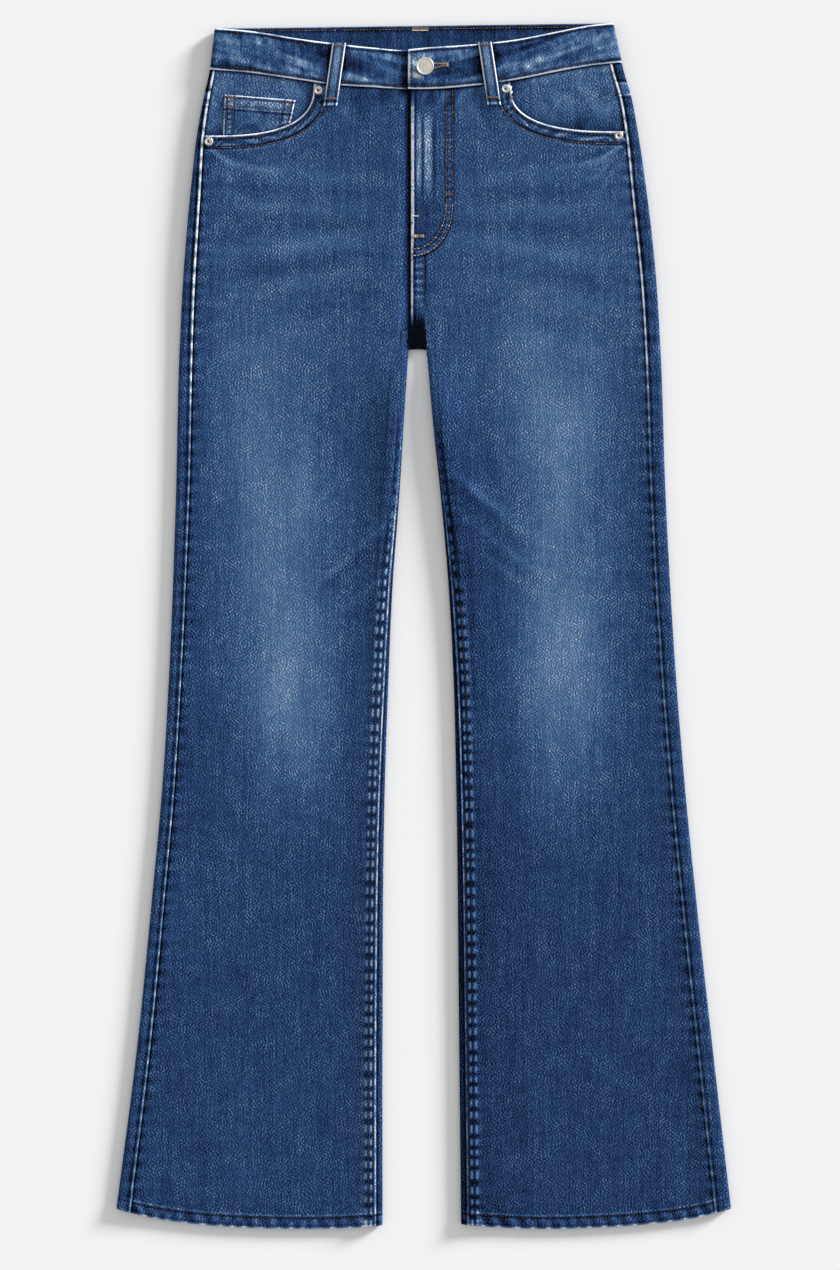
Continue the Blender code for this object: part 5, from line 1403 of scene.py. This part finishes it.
def turnedPiece(name, profile, at, height, steps, material, slot, nodeName):
    # surface of revolution: a dense smooth profile of radius and height, carried round the axis
    profile = np.array(profile, dtype=float)
    run = np.concatenate([[0], np.cumsum(np.hypot(*np.diff(profile, axis=0).T))])
    fine = np.linspace(0, run[-1], 70)
    radius, level = np.interp(fine, run, profile[:, 0]), np.interp(fine, run, profile[:, 1])
    kernel = np.array([1, 4, 6, 4, 1]) / 16
    radius[2:-2], level[2:-2] = np.convolve(radius, kernel, "valid"), np.convolve(level, kernel, "valid")
    turn = np.linspace(0, 2 * math.pi, steps, endpoint=False)
    x = at[0] + radius[1:-1, None] * np.cos(turn)
    down = at[1] - radius[1:-1, None] * np.sin(turn)
    z = height + level[1:-1, None] + 0.0 * turn
    ring = joined(x, down, z)
    count = len(ring)
    poles = [[at[0], at[1], height + level[end]] for end in (0, -1)]
    corners = np.concatenate([ring.reshape(-1, 3), poles])
    index = np.arange(count * steps).reshape(count, steps)
    nextIndex = np.roll(index, -1, axis=1)
    faces = np.stack([index[:-1], index[1:], nextIndex[1:], nextIndex[:-1]], axis=-1).reshape(-1, 4).tolist()
    top, low = count * steps, count * steps + 1
    faces += np.stack([np.full(steps, top), index[0], nextIndex[0]], axis=-1).tolist()
    faces += np.stack([np.full(steps, low), nextIndex[-1], index[-1]], axis=-1).tolist()
    away = np.hypot(corners[:, 0] - at[0], corners[:, 1] - at[1]) / radius.max()
    return finishPiece(addMesh(name, corners, faces, {"away": away}), material, slot, nodeName)


r, h = metalWork["button"]["radius"], metalWork["button"]["rise"]
turnedPiece("shankButton", (
    (0, h - 0.35), (0.3 * r, h - 0.38), (0.6 * r, h - 0.5), (0.78 * r, h - 0.62), (0.83 * r, h - 0.5),
    (0.88 * r, h - 0.1), (0.94 * r, h), (r, h - 0.3), (1.0 * r, h - 0.9), (0.95 * r, h - 1.6),
    (0.45 * r, h - 2.2), (0.38 * r, 0.8), (0.5 * r, 0.0), (0, 0)),
    metalWork["button"]["at"], band["top"] + jeans["gap"], 72, buttonMetal, "button_metal", "button")
r, h = metalWork["rivetRadius"], metalWork["rivetRise"]
ring = np.linspace(0, 2 * math.pi, 12)
for place, (side, x, down) in metalWork["rivets"].items():
    under = float(topHeight(side, x + r * np.cos(ring), down + r * np.sin(ring)).max()) + jeans["gap"]
    turnedPiece("rivet" + place.title().replace("_", ""), (
        (0, h - 0.1), (0.24 * r, h - 0.2), (0.34 * r, h - 0.75), (0.5 * r, h - 0.8), (0.72 * r, h - 0.35),
        (0.9 * r, h - 0.6), (r, 0.4), (r, 0.0), (0, 0)),
        (x, down), under, 48, rivetMetal, "rivet_metal", "rivet_" + place)
print("button and rivets made")

# stage, light and camera

bpy.ops.mesh.primitive_plane_add(size=60.0)
floor = bpy.context.object
floor.name = "floor"
floorMaterial, floorTree, floorShader = principled("paleFloor", Roughness=0.95)
floorShader.inputs["Base Color"].default_value = (0.80, 0.80, 0.80, 1.0)
floorShader.inputs["Specular IOR Level"].default_value = 0.1
floor.data.materials.append(floorMaterial)

studio = {"sky": 0.66, "key": 5.6, "keySize": 14.0, "elevation": 15.0, "azimuth": 36.0}
world = bpy.data.worlds.new("studio")
bpy.context.scene.world = world
world.use_nodes = True
world.node_tree.nodes["Background"].inputs["Color"].default_value = (1.0, 1.0, 1.0, 1.0)
world.node_tree.nodes["Background"].inputs["Strength"].default_value = studio["sky"]
keyLight = bpy.data.lights.new("key", "SUN")
keyLight.energy = studio["key"]
keyLight.angle = math.radians(studio["keySize"])
key = bpy.data.objects.new("key", keyLight)
key.rotation_euler = (0.0, math.radians(90.0 - studio["elevation"]), math.radians(studio["azimuth"]))
bpy.context.scene.collection.objects.link(key)

view = {"distance": 3.5, "frameHeight": 1.1811, "x": -3.3, "down": 568.2}
cameraData = bpy.data.cameras.new("camera")
cameraData.sensor_width = 36.0
cameraData.lens = 36.0 * view["distance"] / view["frameHeight"]
camera = bpy.data.objects.new("camera", cameraData)
camera.location = (view["x"] * mm, (0.5 * jeans["length"] - view["down"]) * mm, view["distance"])
bpy.context.scene.collection.objects.link(camera)
bpy.context.scene.camera = camera
bpy.context.scene.view_settings.view_transform = "Standard"

print("scene ready")
